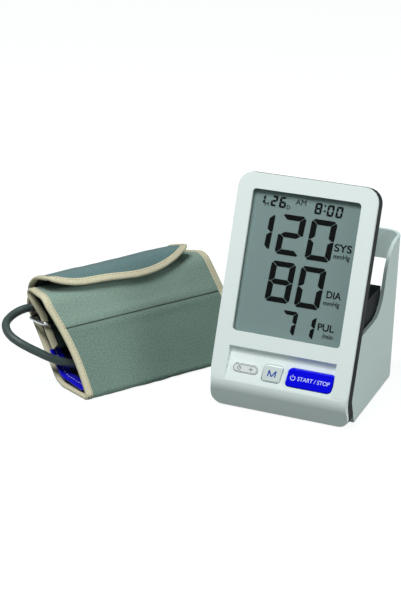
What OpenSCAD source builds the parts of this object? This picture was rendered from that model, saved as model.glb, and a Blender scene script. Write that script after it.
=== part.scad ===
// Upper-arm blood pressure monitor with its folded cuff, air hose and plug.
// Millimetres, +Z up, the face looks along -Y. The origin lies on the table under the middle of
// the monitor: halfway across, and halfway between the face's table line and the stand's back.

/* [Case] */
// Width of the monitor
body_w = 112; // [104:1:140]
// Length of the sloping face, from the table line up to its top edge
face_h = 188; // [184:1:230]
// Angle that the face leans back, in degrees
face_tilt = 20; // [14:1:24]
// Depth from the face's table line to the back of the stand
base_d = 138; // [120:1:160]
// Radius of the two top corners of the face
corner_r = 12; // [6:1:20]
// Wall of the front and rear housings
wall = 2.2; // [1.6:0.1:2.6]
// Depth of the front housing, square to the face
front_depth = 3.2; // [2.8:0.1:5]
// Step from the rear housing's outline in to the front housing's
case_step = 0.4; // [0:0.1:0.6]
// Clear depth between the two housings' walls, square to the face
inner_depth = 7.2; // [5.4:0.1:9.6]
// Radius of the rolled-under chin
chin_r = 18; // [14:1:24]
// Angle of the chin below its roll, in degrees
chin_tilt = 20; // [14:1:28]
// Distance from the face's table line back to the chin's lower edge
chin_foot = 16; // [12:1:20]
// Radius of the chin's two lower corners, seen from the front
chin_round = 9; // [3:0.5:11]
// Radius of the chin's two upright corners
chin_corner_r = 6; // [3:0.5:10]
// Distance from the table line to the back of the rear housing's bulge
bulge_d = 90; // [80:1:96]
// Height of the rear housing's bulge
bulge_top = 90; // [88:1:110]

/* [Display] */
// Width of the display window
lcd_w = 86.6; // [70:0.2:92]
// Height of the display window
lcd_h = 109.4; // [90:0.2:112]
// Height of the window's lower edge above the table line, along the face
lcd_s = 66; // [62:0.5:70]
// Corner radius of the window
lcd_r = 3; // [1:0.5:6]
// Thickness of the clear lens
lens_t = 1.2; // [0.8:0.1:1.3]
// Thickness of the display glass
glass_t = 2.6; // [1.6:0.1:2.6]

/* [Buttons] */
// Width of the sunk button field
field_w = 86.4; // [80:0.2:90]
// Height of the field's upper edge above the table line, along the face
field_top = 54.3; // [52:0.1:56]
// Height of the rounded upper wall of the field
field_lip = 5; // [3:0.5:6]
// Height of the field's lower edge above the table line, along the face
field_low = 27; // [25:0.1:29]
// Depth of the field below its upper edge
field_depth = 3.4; // [2:0.1:3.6]
// Height of the middle of the button row above the table line, along the face
row_s = 38.2; // [37:0.1:40]
// Width of the start and stop button
start_w = 36.6; // [30:0.2:38]
// Height of the start and stop button
start_h = 14.4; // [10:0.2:15]
// Width of the memory button
memory_w = 15.2; // [10:0.2:16]
// Height of the memory button
memory_h = 13.2; // [10:0.2:15]
// Width of the clock and plus rocker key
rocker_w = 20.2; // [16:0.2:22]
// Height of the rocker key
rocker_h = 6.6; // [5:0.2:8]
// Sideways slant of the start and memory buttons' edges
button_slant = 0.12; // [0:0.02:0.2]
// Travel of the start and memory buttons
press = 0.8; // [0.4:0.1:0.9]
// Gap round each button
button_gap = 0.3; // [0.2:0.05:0.4]

/* [Stand] */
// Height of the stand's back band
stand_h = 120; // [116:1:150]
// Wall of the stand
stand_wall = 2.8; // [2:0.1:3.4]
// Radius of the stand's two back corners
stand_r = 14; // [8:1:20]
// Height of the low part of the side walls
sill_z = 69; // [66:1:80]
// Distance from the table line back to where the side walls start to rise
sill_y = 67; // [56:1:76]
// Steepest angle of the rising rim, in degrees
rim_slope = 72; // [60:1:80]
// Lower radius of the rising rim
rim_low_r = 23; // [12:1:26]
// Upper radius of the rising rim
rim_high_r = 30; // [8:1:34]
// Forward slope of the stand's back wall towards its foot, in degrees
stand_draft = 2.5; // [0:0.5:4]
// Width of the window in the back wall
window_w = 97; // [60:1:100]
// Height of the window's lower edge
window_low = 61; // [50:1:80]
// Height of the window's upper edge
window_high = 96; // [88:1:108]
// Height of the housings above the table
floor_gap = 1; // [0.6:0.1:2]

/* [Power and air] */
// Diameter of one AA cell
cell_d = 14.2; // [14:0.1:14.6]
// Length of one AA cell
cell_l = 50; // [49:0.5:51]
// Number of cells side by side
cell_count = 4; // [2:1:4]
// Diameter of the pump head
pump_d = 26.6; // [22:0.2:28]
// Diameter of the bore of the air socket
socket_bore = 4.4; // [3:0.1:5]
// Height of the air socket and the inner air line
air_z = 55; // [50:1:60]
// Distance from the table line back to the inner air line
air_y = 48; // [46:1:50]

/* [Cuff] */
// Width of the folded cuff, along its roll
cuff_w = 152; // [130:1:170]
// Thickness of the cover cloth
cover_t = 2.2; // [1.6:0.1:2.6]
// Thickness of the flat air bladder
bladder_t = 2; // [1.2:0.1:2.4]
// Thickness of the inner lining
lining_t = 1; // [0.6:0.1:1.2]
// Width of the binding tape on the cloth's long edges
binding_w = 5.5; // [4:0.5:7]
// Distance from the monitor's left side out to the cuff's front bottom corner
cuff_away = 88.8; // [84:0.2:120]
// Angle between the cuff's roll and the monitor's width, in degrees
cuff_turn = 58; // [50:1:66]
// Wire diameter of the metal loop
ring_wire = 3; // [2:0.2:3.4]
// Outer diameter of the air hose
hose_d = 6.8; // [5:0.2:7]
// Length of the air plug's tip
plug_tip = 12; // [8:1:14]

/* [Hidden] */
fit = 0.3;                       // gap between a piece and its seat
origin_y = -base_d / 2;          // the face's table line in the part's frame
half_w = body_w / 2;
rim_depth = inner_depth + 2 * wall; // both housings together at the rim
bulge_w = body_w - 2 * stand_wall - 2 * fit;
floor_t = 2.4;                   // the stand's floor
bulge_z = floor_gap + floor_t + fit;
inner_w = bulge_w - 2 * wall;
knee_z = chin_foot / (tan(face_tilt) + tan(chin_tilt));
knee_y = knee_z * tan(face_tilt);
chin_c = [
    knee_y + chin_r * (sin(chin_tilt) + sin(face_tilt)) / sin(face_tilt + chin_tilt),
    knee_z + chin_r * (cos(face_tilt) - cos(chin_tilt)) / sin(face_tilt + chin_tilt)
];

// Layers behind the face, measured square to it
lens_n = wall;
lcd_n = wall + lens_t + fit;
field_back_n = 5.6;
flange_n = field_back_n + fit;
flange_t = 1;
switch_n = flange_n + flange_t + press + 0.1;
board_n = switch_n + 1.6;
board_t = 1.6;
board_low = 26;
board_high = 92;
board_w = inner_w - 1;
post_x = board_w / 2 - 2.6;
start_x = field_w / 2 - 0.8 - start_w / 2;
memory_x = start_x - start_w / 2 - 4.4 - memory_w / 2;
rocker_x = memory_x - memory_w / 2 - 4.2 - rocker_w / 2;
rocker_axle_n = field_back_n + 1.6;
rocker_axle_r = 0.9;
screw_s = face_h - 11;           // upper housing screws
screw_low_s = (bulge_top + 12) / cos(face_tilt);
screw_x = half_w - wall - 3.2;

// Battery bay in the back of the bulge
contact_t = 0.4;
spring_l = 5.6;
nub_h = 1;
cell_pitch = cell_d + 0.9;
bay_w = cell_count * cell_pitch + 0.6;
bay_x0 = -inner_w / 2 + 2.6;
bay_x1 = bay_x0 + bay_w;
bay_z0 = 16;
bay_z1 = bay_z0 + cell_l + spring_l + 2 * contact_t;
cover_t_bay = 2;
bay_y0 = bulge_d - cover_t_bay - fit - cell_d - 0.8;
cell_y = bay_y0 + 0.4 + cell_d / 2;
tongue = 1.2;
rail_y = bulge_d - 0.7;          // the outer face of the cover's tongues
cover_low = bay_z0 - 3;
cover_high = bay_z1 + 3;

// Pump, valves and inner air line
pump_x = inner_w / 2 - 1 - pump_d / 2;
pump_y = bulge_d - wall - 1 - pump_d / 2;
pump_z = bulge_z + wall + 2;
motor_l = 26;
head_l = air_z - 3 - pump_z - motor_l;
socket_l = 15;
air_line_r = 2.5;
air_bore_r = 1.4;

// Screws that hold the stand to the bulge, and the rubber feet
foot_screws = [[-half_w + 14, 44], [-half_w + 14, 66], [half_w - 28, 34], [bay_x1 - 5, 66]];
foot_pads = [for (x = [-half_w + 13, half_w - 13], y = [34, base_d - 22]) [x, y]];
foot_r = 5;
foot_sink = 1.2;

// Cuff: where its front bottom corner stands, from the table line
cuff_x = -half_w - cuff_away;
cuff_y = -17.5;
bend_steps = 4;
// Corners of the folded strip, from the flap's tip inwards. Each row is the left edge's place
// along the roll, its depth and height, the same for the right edge, and the corner's rounding.
strip = [
    [-8, 39.5, 73, cuff_w - 26, 39.5, 74, 0],
    [-8, 52, 85, cuff_w - 26, 52, 87, 8],
    [-6, 80, 77, cuff_w - 26, 80, 78, 11],
    [-3, 97, 47, cuff_w - 14, 93, 38, 10],
    [-9, 34, 2.5, cuff_w - 8, 86, 1.5, 10],
    [-5, -3, 1.5, cuff_w - 2, -6, 1.5, 4],
    [-15, 46, 73, cuff_w - 8, 50, 77.5, 9],
    [-11, 81, 68, cuff_w - 12, 83, 70, 8],
    [-6, 65, 45, cuff_w - 16, 65, 47, 3],
    [-5, 50, 25, cuff_w - 16, 50, 25, 0]
];
stations = [0, 0.03, 0.08, 0.16, 0.32, 0.5, 0.68, 0.84, 0.92, 0.97, 1];

// The hose's route through the cuff's frame: along the roll, back, up. Its hidden turn at the
// right is 54 mm across, four diameters of radius.
hose_route = [
    [-4, 85, 49], [-11, 85, 49], [-18, 85.2, 47.4], [-25, 83, 45.5], [-31, 78.3, 43.8],
    [-34.3, 71.9, 41.6], [-35, 64.5, 39], [-33, 57.5, 36.4], [-28, 50.7, 32.7],
    [-20.3, 45.4, 27.7], [-12.2, 41.2, 22.7], [-5.1, 37.5, 19.4], [2, 34, 17.1],
    [12, 30, 15.2], [26, 26, 13], [42, 23, 11.2],
    [60, 21.5, 10.4], [78, 21, 10.2], [94, 21, 10.2], [106, 21, 10.2], [116.4, 22.3, 11.8],
    [125.3, 26.1, 16.3], [131.2, 31.8, 23.1], [133.2, 38.5, 31.1], [131.2, 45.2, 39.1],
    [125.3, 50.9, 45.9], [116.4, 54.7, 50.4], [106, 56, 52], [92, 56, 52], [78, 56, 52],
    [64, 56, 52], [52, 56, 52], [44, 56, 52], [38, 56, 52]
];
// The metal loop: its ends along the roll, and the depth and height of its long sides
ring_u0 = -9.5;
ring_u1 = cuff_w - 14;
ring_front = [58, 44.5];
ring_back = [83, 41.5];
// where the hose meets its plug, which points back to the left
plug_at = hose_route[len(hose_route) - 1];
nipple_at = hose_route[0];       // where the hose leaves the cuff's nipple

white = [0.86, 0.89, 0.89];
black = [0.08, 0.09, 0.1];
grey = [0.67, 0.73, 0.73];
metal = [0.72, 0.73, 0.75];
$fn = 40;

// ---------------------------------------------------------------- helpers

// Rounded rectangle from x0, y0 to x1, y1, with its own radius at the top and at the bottom
function rounded(x0, x1, y0, y1, top_r, low_r, steps = 6) = [
    for (c = [[x1, y1, top_r, 0, -1, -1], [x0, y1, top_r, 90, 1, -1],
              [x0, y0, low_r, 180, 1, 1], [x1, y0, low_r, 270, -1, 1]])
    for (i = [0:(c[2] > 0 ? steps : 0)])
    [c[0] + c[4] * c[2] + c[2] * cos(c[3] + 90 * i / steps),
     c[1] + c[5] * c[2] + c[2] * sin(c[3] + 90 * i / steps)]
];

// Puts what is drawn from the table line into the part's frame
module from_table_line() {
    translate([0, origin_y, 0]) children();
}

// The face's own frame: X across, Y square into the case, Z up along the face
module on_face() {
    translate([0, origin_y, 0]) rotate([-face_tilt, 0, 0]) children();
}

// A flat shape in the face's X and Z, from depth n0 to depth n1
module layer(n0, n1) {
    translate([0, n1, 0]) rotate([90, 0, 0]) linear_extrude(n1 - n0) children();
}

// A flat shape in Y and Z, drawn out across the width
module across(x0, x1) {
    from_table_line() translate([x0, 0, 0]) rotate([90, 0, 90]) linear_extrude(x1 - x0) children();
}

// Side view of everything that lies deeper than n behind the front surface and above the height low
module behind(n, low = floor_gap) {
    arc = [for (i = [0:8]) let (a = face_tilt - (face_tilt + chin_tilt) * i / 8)
        chin_c + (chin_r - n) * [-cos(a), sin(a)]];
    rise = 1.2 * face_h;
    drop = (arc[8].y - low) / cos(chin_tilt);
    polygon(concat(
        [arc[0] + rise * [sin(face_tilt), cos(face_tilt)]],
        arc,
        [arc[8] + drop * [sin(chin_tilt), -cos(chin_tilt)],
         [base_d, low],
         [base_d, arc[0].y + rise * cos(face_tilt)]]
    ));
}

// The face's outline and the plan outline of the chin, both drawn in by the same margin
module case_outline(margin) {
    intersection() {
        on_face() layer(-1, base_d)
            polygon(rounded(-half_w + margin, half_w - margin, -30, face_h - margin,
                            corner_r - margin, 0));
        from_table_line() linear_extrude(face_h)
            polygon(rounded(-half_w + margin, half_w - margin, knee_y - 1.5 + margin, 2 * base_d,
                            0, chin_corner_r - margin));
        from_table_line() translate([0, 2 * base_d, 0]) rotate([90, 0, 0])
            linear_extrude(3 * base_d)
            polygon(rounded(-half_w + margin, half_w - margin, floor_gap + margin, face_h,
                            0, chin_round - margin));
    }
}

// Everything between two depths behind the front surface, inside the outline, drawn in by a margin
module shell(n0, n1, margin) {
    intersection() {
        difference() {
            across(-half_w, half_w) behind(n0, floor_gap + margin);
            across(-half_w - 1, half_w + 1) behind(n1, 0);
        }
        case_outline(margin);
    }
}

module box(x0, x1, y0, y1, z0, z1) {
    from_table_line() translate([x0, y0, z0]) cube([x1 - x0, y1 - y0, z1 - z0]);
}

// A round bar along X, Y or Z, from a point measured from the table line
module bar(at, length, r, turn = [0, 0, 0]) {
    from_table_line() translate(at) rotate(turn) cylinder(h = length, r = r);
}

along_x = [0, 90, 0];

// A round bar square to the face, at x and s, from depth n0 to n1
module face_bar(x, s, n0, n1, r) {
    on_face() translate([x, n1, s]) rotate([90, 0, 0]) cylinder(h = n1 - n0, r = r);
}

module face_box(x0, x1, n0, n1, s0, s1) {
    on_face() translate([x0, n0, s0]) cube([x1 - x0, n1 - n0, s1 - s0]);
}

// ---------------------------------------------------------------- housings

module field_cut() {
    on_face() translate([-field_w / 2, 0, 0]) rotate([90, 0, 90]) linear_extrude(field_w)
        polygon([[0, field_low], [field_depth, field_top - field_lip],
                 [field_depth * 0.6, field_top - field_lip / 3], [0, field_top], [-2, field_top],
                 [-2, field_low]]);
}

module button_shape(x, w, h, r, margin = 0, slant = button_slant) {
    outline = rounded(x - w / 2 - margin, x + w / 2 + margin, row_s - h / 2 - margin,
                      row_s + h / 2 + margin, r + margin, r + margin);
    polygon([for (p = outline) [p.x + slant * (p.y - row_s), p.y]]);
}

module button_holes() {
    on_face() layer(-1, field_back_n + 1) {
        button_shape(start_x, start_w, start_h, 3.2, button_gap);
        button_shape(memory_x, memory_w, memory_h, 2.4, button_gap);
        button_shape(rocker_x, rocker_w, rocker_h, rocker_h / 2 - 0.01, button_gap, 0);
    }
}

module rocker_bearings() {
    for (side = [-1, 1])
    face_box(rocker_x - 2, rocker_x + 2, field_back_n - 0.5, rocker_axle_n + 1.8,
             row_s + side * (rocker_h / 2 + 3.4) - 1.2, row_s + side * (rocker_h / 2 + 3.4) + 1.2);
}

module front_housing() {
    color(white) difference() {
        union() {
            difference() {
                shell(0, front_depth, case_step);
                shell(wall, front_depth + 1, wall);
            }
            intersection() {
                face_box(-field_w / 2 - 2, field_w / 2 + 2, wall - 0.5, field_back_n,
                         field_low - 1, field_top + 2.5);
                case_outline(1);
            }
            rocker_bearings();
            for (x = [-post_x, post_x], s = [board_low + 4, board_high - 4])
            face_bar(x, s, wall - 0.5, board_n, 2.3);
            for (x = [-screw_x, screw_x], s = [screw_low_s, screw_s])
            face_bar(x, s, wall - 0.5, rim_depth - wall, 2.6);
        }
        on_face() layer(-1, wall + 0.01)
            polygon(rounded(-lcd_w / 2, lcd_w / 2, lcd_s, lcd_s + lcd_h, lcd_r, lcd_r));
        field_cut();
        button_holes();
        on_face() translate([rocker_x, rocker_axle_n, row_s - 12])
            cylinder(h = 24, r = rocker_axle_r + 0.15);
        for (x = [-post_x, post_x], s = [board_low + 4, board_high - 4])
        face_bar(x, s, wall + 1, board_n + 1, 0.9);
        for (x = [-screw_x, screw_x], s = [screw_low_s, screw_s])
        face_bar(x, s, wall + 1, rim_depth, 1.1);
    }
}

// The bulge behind the slab, drawn in by a margin
module bulge(margin) {
    intersection() {
        across(-half_w, half_w) behind(rim_depth - wall + (margin > 0 ? -1 : 0.5));
        box(-bulge_w / 2 + margin, bulge_w / 2 - margin, 0, bulge_d - margin,
            bulge_z + margin, bulge_top - margin);
        case_outline(0.5);
    }
}

module bay_cut() {
    box(bay_x0, bay_x1, bay_y0, bulge_d + 1, bay_z0, bay_z1);
    // the channel that the cover slides in, open at the top
    box(bay_x0 - tongue - fit, bay_x1 + tongue + fit, bulge_d - cover_t_bay - fit, rail_y,
        cover_low - fit, bulge_top + 1);
    box(bay_x0 - fit, bay_x1 + fit, rail_y - 0.1, bulge_d + 1, cover_low - fit, bulge_top + 1);
}

module rear_housing() {
    color(black) difference() {
        union() {
            difference() {
                union() {
                    shell(front_depth, rim_depth, 0);
                    bulge(0);
                }
                shell(front_depth - 1, rim_depth - wall, wall);
                bulge(wall);
            }
            // bay box and the thicker wall behind the cover's channel
            box(bay_x0 - 1.6, bay_x1 + 1.6, bay_y0 - 1.6, bulge_d, bay_z0 - 1.6, bay_z1 + 1.6);
            box(-inner_w / 2 - 0.5, bay_x1 + 4, bulge_d - cover_t_bay - 2, bulge_d,
                bulge_z, bulge_top);
            for (p = foot_screws)
            bar([p.x, p.y, bulge_z + 0.5], bay_z0 - bulge_z - 1, 3.2);
            // seats of the air and power sockets
            box(-inner_w / 2 - 0.5, -inner_w / 2 + 3, air_y - 8, air_y + 7, air_z - 8, air_z + 8);
            box(-inner_w / 2 - 0.5, -inner_w / 2 + 3, air_y - 8, air_y + 7, air_z - 27, air_z - 10);
        }
        bay_cut();
        for (p = foot_screws)
        bar([p.x, p.y, bulge_z - 1], 10, 1.2);
        for (x = [-screw_x, screw_x], s = [screw_low_s, screw_s]) {
            face_bar(x, s, 1, rim_depth + 1, 1.5);
            face_bar(x, s, rim_depth - 1, rim_depth + 1, 2.9);
        }
        bar([-half_w - 1, air_y, air_z], 12, 5.2, along_x);
        box(-half_w - 1, -inner_w / 2 + 4, air_y - 5, air_y + 5, air_z - 24, air_z - 13);
    }
}

// ---------------------------------------------------------------- stand

module rim_profile() {
    low_c = [sill_y, sill_z + rim_low_r];
    low_end = low_c + rim_low_r * [sin(rim_slope), -cos(rim_slope)];
    high_start_z = stand_h - rim_high_r * (1 - cos(rim_slope));
    high_start = [low_end.x + (high_start_z - low_end.y) / tan(rim_slope), high_start_z];
    high_c = high_start + rim_high_r * [sin(rim_slope), -cos(rim_slope)];
    polygon(concat(
        [[0, floor_gap], [0, sill_z]],
        [for (i = [0:8]) let (a = rim_slope * i / 8) low_c + rim_low_r * [sin(a), -cos(a)]],
        [for (i = [0:8]) let (a = rim_slope * (1 - i / 8))
            high_c + rim_high_r * [-sin(a), cos(a)]],
        [[base_d + 5, stand_h], [base_d + 5, floor_gap]]
    ));
}

module stand_plan(margin) {
    from_table_line() translate([0, base_d, stand_h]) rotate([-stand_draft, 0, 0])
        translate([0, -base_d, -2 * stand_h]) linear_extrude(3 * stand_h)
        polygon(rounded(-half_w + margin, half_w - margin, -base_d, base_d - margin,
                        stand_r - margin, 0));
}

module storage_stand() {
    color(grey) difference() {
        intersection() {
            union() {
                difference() {
                    stand_plan(0);
                    stand_plan(stand_wall);
                }
                intersection() {
                    stand_plan(stand_wall / 2);
                    box(-half_w, half_w, 0, base_d, floor_gap, floor_gap + floor_t);
                }
            }
            across(-half_w, half_w) rim_profile();
            across(-half_w, half_w) behind(rim_depth + 0.1);
        }
        from_table_line() translate([0, base_d + 20, 0]) rotate([90, 0, 0]) linear_extrude(40)
            polygon(rounded(-window_w / 2, window_w / 2, window_low, window_high, 7, 7));
        for (p = foot_screws) {
            bar([p.x, p.y, 0], 6, 1.7);
            bar([p.x, p.y, 0], floor_gap + 1.4, 3.1);
        }
        for (p = foot_pads)
        bar([p.x, p.y, 0], floor_gap + foot_sink, foot_r + 0.2);
        bar([-half_w - 1, air_y, air_z], 12, 6.4, along_x);
        box(-half_w - 1, -half_w + stand_wall + 1, air_y - 5.6, air_y + 5.6, air_z - 24.6, air_z - 12.4);
    }
}

module rubber_feet() {
    color([0.2, 0.2, 0.2])
    for (p = foot_pads)
    bar([p.x, p.y, 0], floor_gap + foot_sink, foot_r);
}

module stand_screws() {
    color(metal)
    for (p = foot_screws) {
        bar([p.x, p.y, floor_gap + 0.2], 1.2, 2.8);
        bar([p.x, p.y, floor_gap + 1.3], 8, 1.2);
    }
}

module housing_screws() {
    color(metal)
    for (x = [-screw_x, screw_x], s = [screw_low_s, screw_s]) {
        face_bar(x, s, rim_depth - 1, rim_depth - 0.2, 2.6);
        face_bar(x, s, wall + 1.4, rim_depth - 0.9, 1.1);
    }
}

// ---------------------------------------------------------------- display and board

module display_lens() {
    color([0.75, 0.8, 0.78, 0.4]) on_face() layer(lens_n, lens_n + lens_t)
        polygon(rounded(-lcd_w / 2 - 1, lcd_w / 2 + 1, lcd_s - 1, lcd_s + lcd_h + 1, lcd_r, lcd_r));
}

module display_panel() {
    color([0.47, 0.55, 0.53]) on_face() layer(lcd_n, lcd_n + glass_t)
        polygon(rounded(-lcd_w / 2 - 0.3, lcd_w / 2 + 0.3, lcd_s - 1.5, lcd_s + lcd_h + 1.5, 1, 1));
}

module display_frame() {
    back = lcd_n + glass_t + 0.1;
    color(white) difference() {
        // its rim goes round the lens and rests on the inside of the face
        on_face() layer(lens_n, back + 0.8)
            polygon(rounded(-lcd_w / 2 - 1.9, lcd_w / 2 + 1.9, lcd_s - 3, lcd_s + lcd_h + 3, 2, 2));
        on_face() layer(lens_n - 1, lens_n + lens_t)
            polygon(rounded(-lcd_w / 2 - 1.2, lcd_w / 2 + 1.2, lcd_s - 1.2, lcd_s + lcd_h + 1.2,
                            lcd_r + 0.2, lcd_r + 0.2));
        on_face() layer(lens_n, back)
            polygon(rounded(-lcd_w / 2 - 0.5, lcd_w / 2 + 0.5, lcd_s - 1.7, lcd_s + lcd_h + 1.7, 1, 1));
        face_box(-lcd_w / 2 + 4, lcd_w / 2 - 4, back - 1, back + 2, lcd_s + 0.5, lcd_s + 4);
    }
}

module display_connector() {
    color([0.9, 0.45, 0.5])
        face_box(-lcd_w / 2 + 4.5, lcd_w / 2 - 4.5, lcd_n + glass_t, board_n, lcd_s + 1, lcd_s + 3.5);
}

module main_board() {
    color([0.05, 0.32, 0.16]) difference() {
        on_face() layer(board_n, board_n + board_t)
            polygon(rounded(-board_w / 2, board_w / 2, board_low, board_high, 1.5, 1.5));
        for (x = [-post_x, post_x], s = [board_low + 4, board_high - 4])
        face_bar(x, s, board_n - 1, board_n + board_t + 1, 1.1);
    }
}

module board_screws() {
    color(metal)
    for (x = [-post_x, post_x], s = [board_low + 4, board_high - 4]) {
        face_bar(x, s, board_n + board_t, board_n + board_t + 1.2, 2);
        face_bar(x, s, wall + 1.4, board_n + board_t + 0.1, 0.9);
    }
}

module board_chips() {
    n = board_n + board_t;
    color([0.12, 0.12, 0.13]) {
        face_box(14, 28, n, n + 1.6, 66, 80);
        face_box(-6, 2, n, n + 1.4, 76, 81);
        face_bar(8, 52, n, n + 7, 3.2);
        face_bar(-16, 84, n, n + 7, 3.2);
        face_box(34, 38, n, n + 2, 70, 80);
    }
}

module key_switches() {
    color([0.15, 0.15, 0.16])
    for (x = [start_x, memory_x, rocker_x - 7, rocker_x + 7])
    face_box(x - 3, x + 3, switch_n, board_n, row_s - 3, row_s + 3);
}

module buzzer() {
    color(black) face_bar(-30, 60, board_n + board_t, board_n + board_t + 4, 6);
}

module pressure_sensor() {
    n = board_n + board_t;
    tip = air_y * cos(face_tilt) - air_z * sin(face_tilt) - air_line_r;
    s = air_y * sin(face_tilt) + air_z * cos(face_tilt);
    color([0.16, 0.16, 0.18]) {
        face_box(-5, 5, n, n + 5, s - 5, s + 5);
        face_bar(0, s, n + 4.9, tip, 1.5);
    }
}

// ---------------------------------------------------------------- buttons

module start_stop_button() {
    color([0.02, 0.02, 0.95]) {
        on_face() layer(0, flange_n + 0.1) button_shape(start_x, start_w, start_h, 3.2);
        on_face() layer(flange_n, flange_n + flange_t) button_shape(start_x, start_w, start_h, 3.2, 1.2);
    }
}

module memory_button() {
    color([0.8, 0.85, 0.86]) {
        on_face() layer(0.7, flange_n + 0.1) button_shape(memory_x, memory_w, memory_h, 2.4);
        on_face() layer(flange_n, flange_n + flange_t) button_shape(memory_x, memory_w, memory_h, 2.4, 1);
    }
}

module clock_rocker() {
    color([0.9, 0.92, 0.92]) {
        on_face() layer(0.9, rocker_axle_n)
            button_shape(rocker_x, rocker_w, rocker_h, rocker_h / 2 - 0.01, 0, 0);
        face_box(rocker_x - 9, rocker_x + 9, field_back_n + 0.9, rocker_axle_n + 0.2,
                 row_s - rocker_h / 2 + 0.4, row_s + rocker_h / 2 - 0.4);
        on_face() translate([rocker_x, rocker_axle_n, row_s - rocker_h / 2 - 4.4])
            cylinder(h = rocker_h + 8.8, r = rocker_axle_r);
    }
}

// ---------------------------------------------------------------- pump and air

module pump_motor() {
    color(metal) bar([pump_x, pump_y, pump_z], motor_l, pump_d / 2 - 1.3);
}

module pump_head() {
    color([0.85, 0.85, 0.82]) bar([pump_x, pump_y, pump_z + motor_l], head_l, pump_d / 2);
}

module pump_mount() {
    color([0.25, 0.25, 0.26]) difference() {
        bar([pump_x, pump_y, bulge_z + wall], 14, pump_d / 2);
        bar([pump_x, pump_y, pump_z], 14, pump_d / 2 - 1.3);
    }
}

module air_manifold() {
    color([0.8, 0.8, 0.78]) {
        box(pump_x - 12, pump_x + 11, pump_y - 6, pump_y + 6, air_z - 3, air_z + 3);
        box(pump_x - 12, pump_x - 4, air_y - 3, pump_y - 5.9, air_z - 3, air_z + 3);
    }
}

module release_valve() {
    color(metal) bar([pump_x + 4.5, pump_y, air_z + 3], 20, 6);
}

module bleed_valve() {
    color([0.7, 0.7, 0.68]) bar([pump_x - 7, pump_y, air_z + 3], 11, 4);
}

module air_line() {
    color([0.75, 0.76, 0.7]) difference() {
        bar([-half_w + socket_l, air_y, air_z], half_w - socket_l + pump_x - 12, air_line_r, along_x);
        bar([-half_w + socket_l - 1, air_y, air_z], 2 * half_w, air_bore_r, along_x);
    }
}

module air_socket() {
    color([0.2, 0.2, 0.22]) difference() {
        union() {
            bar([-half_w, air_y, air_z], socket_l, 5, along_x);
            bar([-half_w, air_y, air_z], 1.6, 6.2, along_x);
        }
        bar([-half_w - 1, air_y, air_z], socket_l - 2, socket_bore / 2, along_x);
        bar([-half_w + 1, air_y, air_z], socket_l, air_bore_r, along_x);
    }
}

module power_socket() {
    color([0.12, 0.12, 0.13]) difference() {
        box(-half_w + 0.2, -half_w + 14, air_y - 4.7, air_y + 4.7, air_z - 23.7, air_z - 13.3);
        bar([-half_w - 1, air_y, air_z - 18.5], 10, 2.9, along_x);
    }
}

// ---------------------------------------------------------------- batteries

module battery_cover() {
    color([0.11, 0.12, 0.13]) {
        box(bay_x0 - tongue, bay_x1 + tongue, bulge_d - cover_t_bay, rail_y - 0.15,
            cover_low, cover_high);
        box(bay_x0, bay_x1, rail_y - 0.2, bulge_d, cover_low, cover_high);
        for (i = [0:3])
        box(bay_x0 + bay_w / 2 - 12, bay_x0 + bay_w / 2 + 12, bulge_d - 0.1, bulge_d + 0.6,
            cover_high - 8 - 2.4 * i, cover_high - 7 - 2.4 * i);
    }
}

function cell_x(i) = bay_x0 + 0.3 + cell_pitch * (i + 0.5);

module batteries() {
    color([0.75, 0.6, 0.2])
    for (i = [0:cell_count - 1]) {
        up = i % 2 == 0;
        low = bay_z0 + contact_t + (up ? spring_l : nub_h);
        bar([cell_x(i), cell_y, low], cell_l - nub_h, cell_d / 2);
        bar([cell_x(i), cell_y, up ? low + cell_l - nub_h - 0.1 : low - nub_h], nub_h + 0.1, 2.6);
    }
}

module battery_springs() {
    color(metal)
    for (i = [0:cell_count - 1]) {
        z = bay_z0 + contact_t + (i % 2 == 0 ? 0 : cell_l);
        difference() {
            bar([cell_x(i), cell_y, z], spring_l, 3.6);
            bar([cell_x(i), cell_y, z - 1], spring_l + 2, 2.8);
        }
    }
}

module battery_contacts() {
    color(metal)
    for (i = [0:cell_count - 1], top = [0, 1]) {
        z = top == 1 ? bay_z1 - contact_t : bay_z0;
        box(cell_x(i) - 5, cell_x(i) + 5, cell_y - 5, cell_y + 5, z, z + contact_t);
    }
}

// ---------------------------------------------------------------- cuff

// Puts what is drawn in the cuff's frame, along the roll, back and up, on the table
module on_cuff() {
    translate([cuff_x, origin_y + cuff_y, 0]) rotate([0, 0, cuff_turn]) children();
}

function mix(a, b, t) = a + (b - a) * t;
function flat(a, b) = [0, b.y - a.y, b.z - a.z];
function flat_dir(a, b) = flat(a, b) / norm(flat(a, b));
function bend(a, p, b, t) = (1 - t) * (1 - t) * a + 2 * t * (1 - t) * p + t * t * b;
// How far the flap's tip hangs down at a station, rounded off at both ends
function hang(t) = max(0.35, pow(1 - pow(abs(2 * t - 1), 2.4), 0.9));

// The strip's corners at a station t between its left and right edges
function corners(t) = [for (i = [0:len(strip) - 1])
    let (r = strip[i], p = [mix(r[0], r[3], t), mix(r[1], r[4], t), mix(r[2], r[5], t)],
         q = [mix(strip[1][0], strip[1][3], t), mix(strip[1][1], strip[1][4], t),
              mix(strip[1][2], strip[1][5], t)])
    i == 0 ? mix(q, p, hang(t)) : p];

// The strip's middle line at a station, from corner first to corner last. ends says how far along
// its first and last straights it starts and stops.
function strip_line(t, first, last, ends) = let (q = corners(t)) [
    for (i = [first:last]) each
        i == first ? [mix(q[i], q[i + 1], ends[0])] :
        i == last ? [mix(q[i - 1], q[i], ends[1])] :
        let (cut = min(strip[i][6], 0.45 * norm(flat(q[i], q[i - 1])), 0.45 * norm(flat(q[i], q[i + 1]))),
             a = q[i] + flat_dir(q[i], q[i - 1]) * cut, b = q[i] + flat_dir(q[i], q[i + 1]) * cut)
        [for (k = [0:bend_steps]) bend(a, q[i], b, k / bend_steps)]
];

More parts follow.
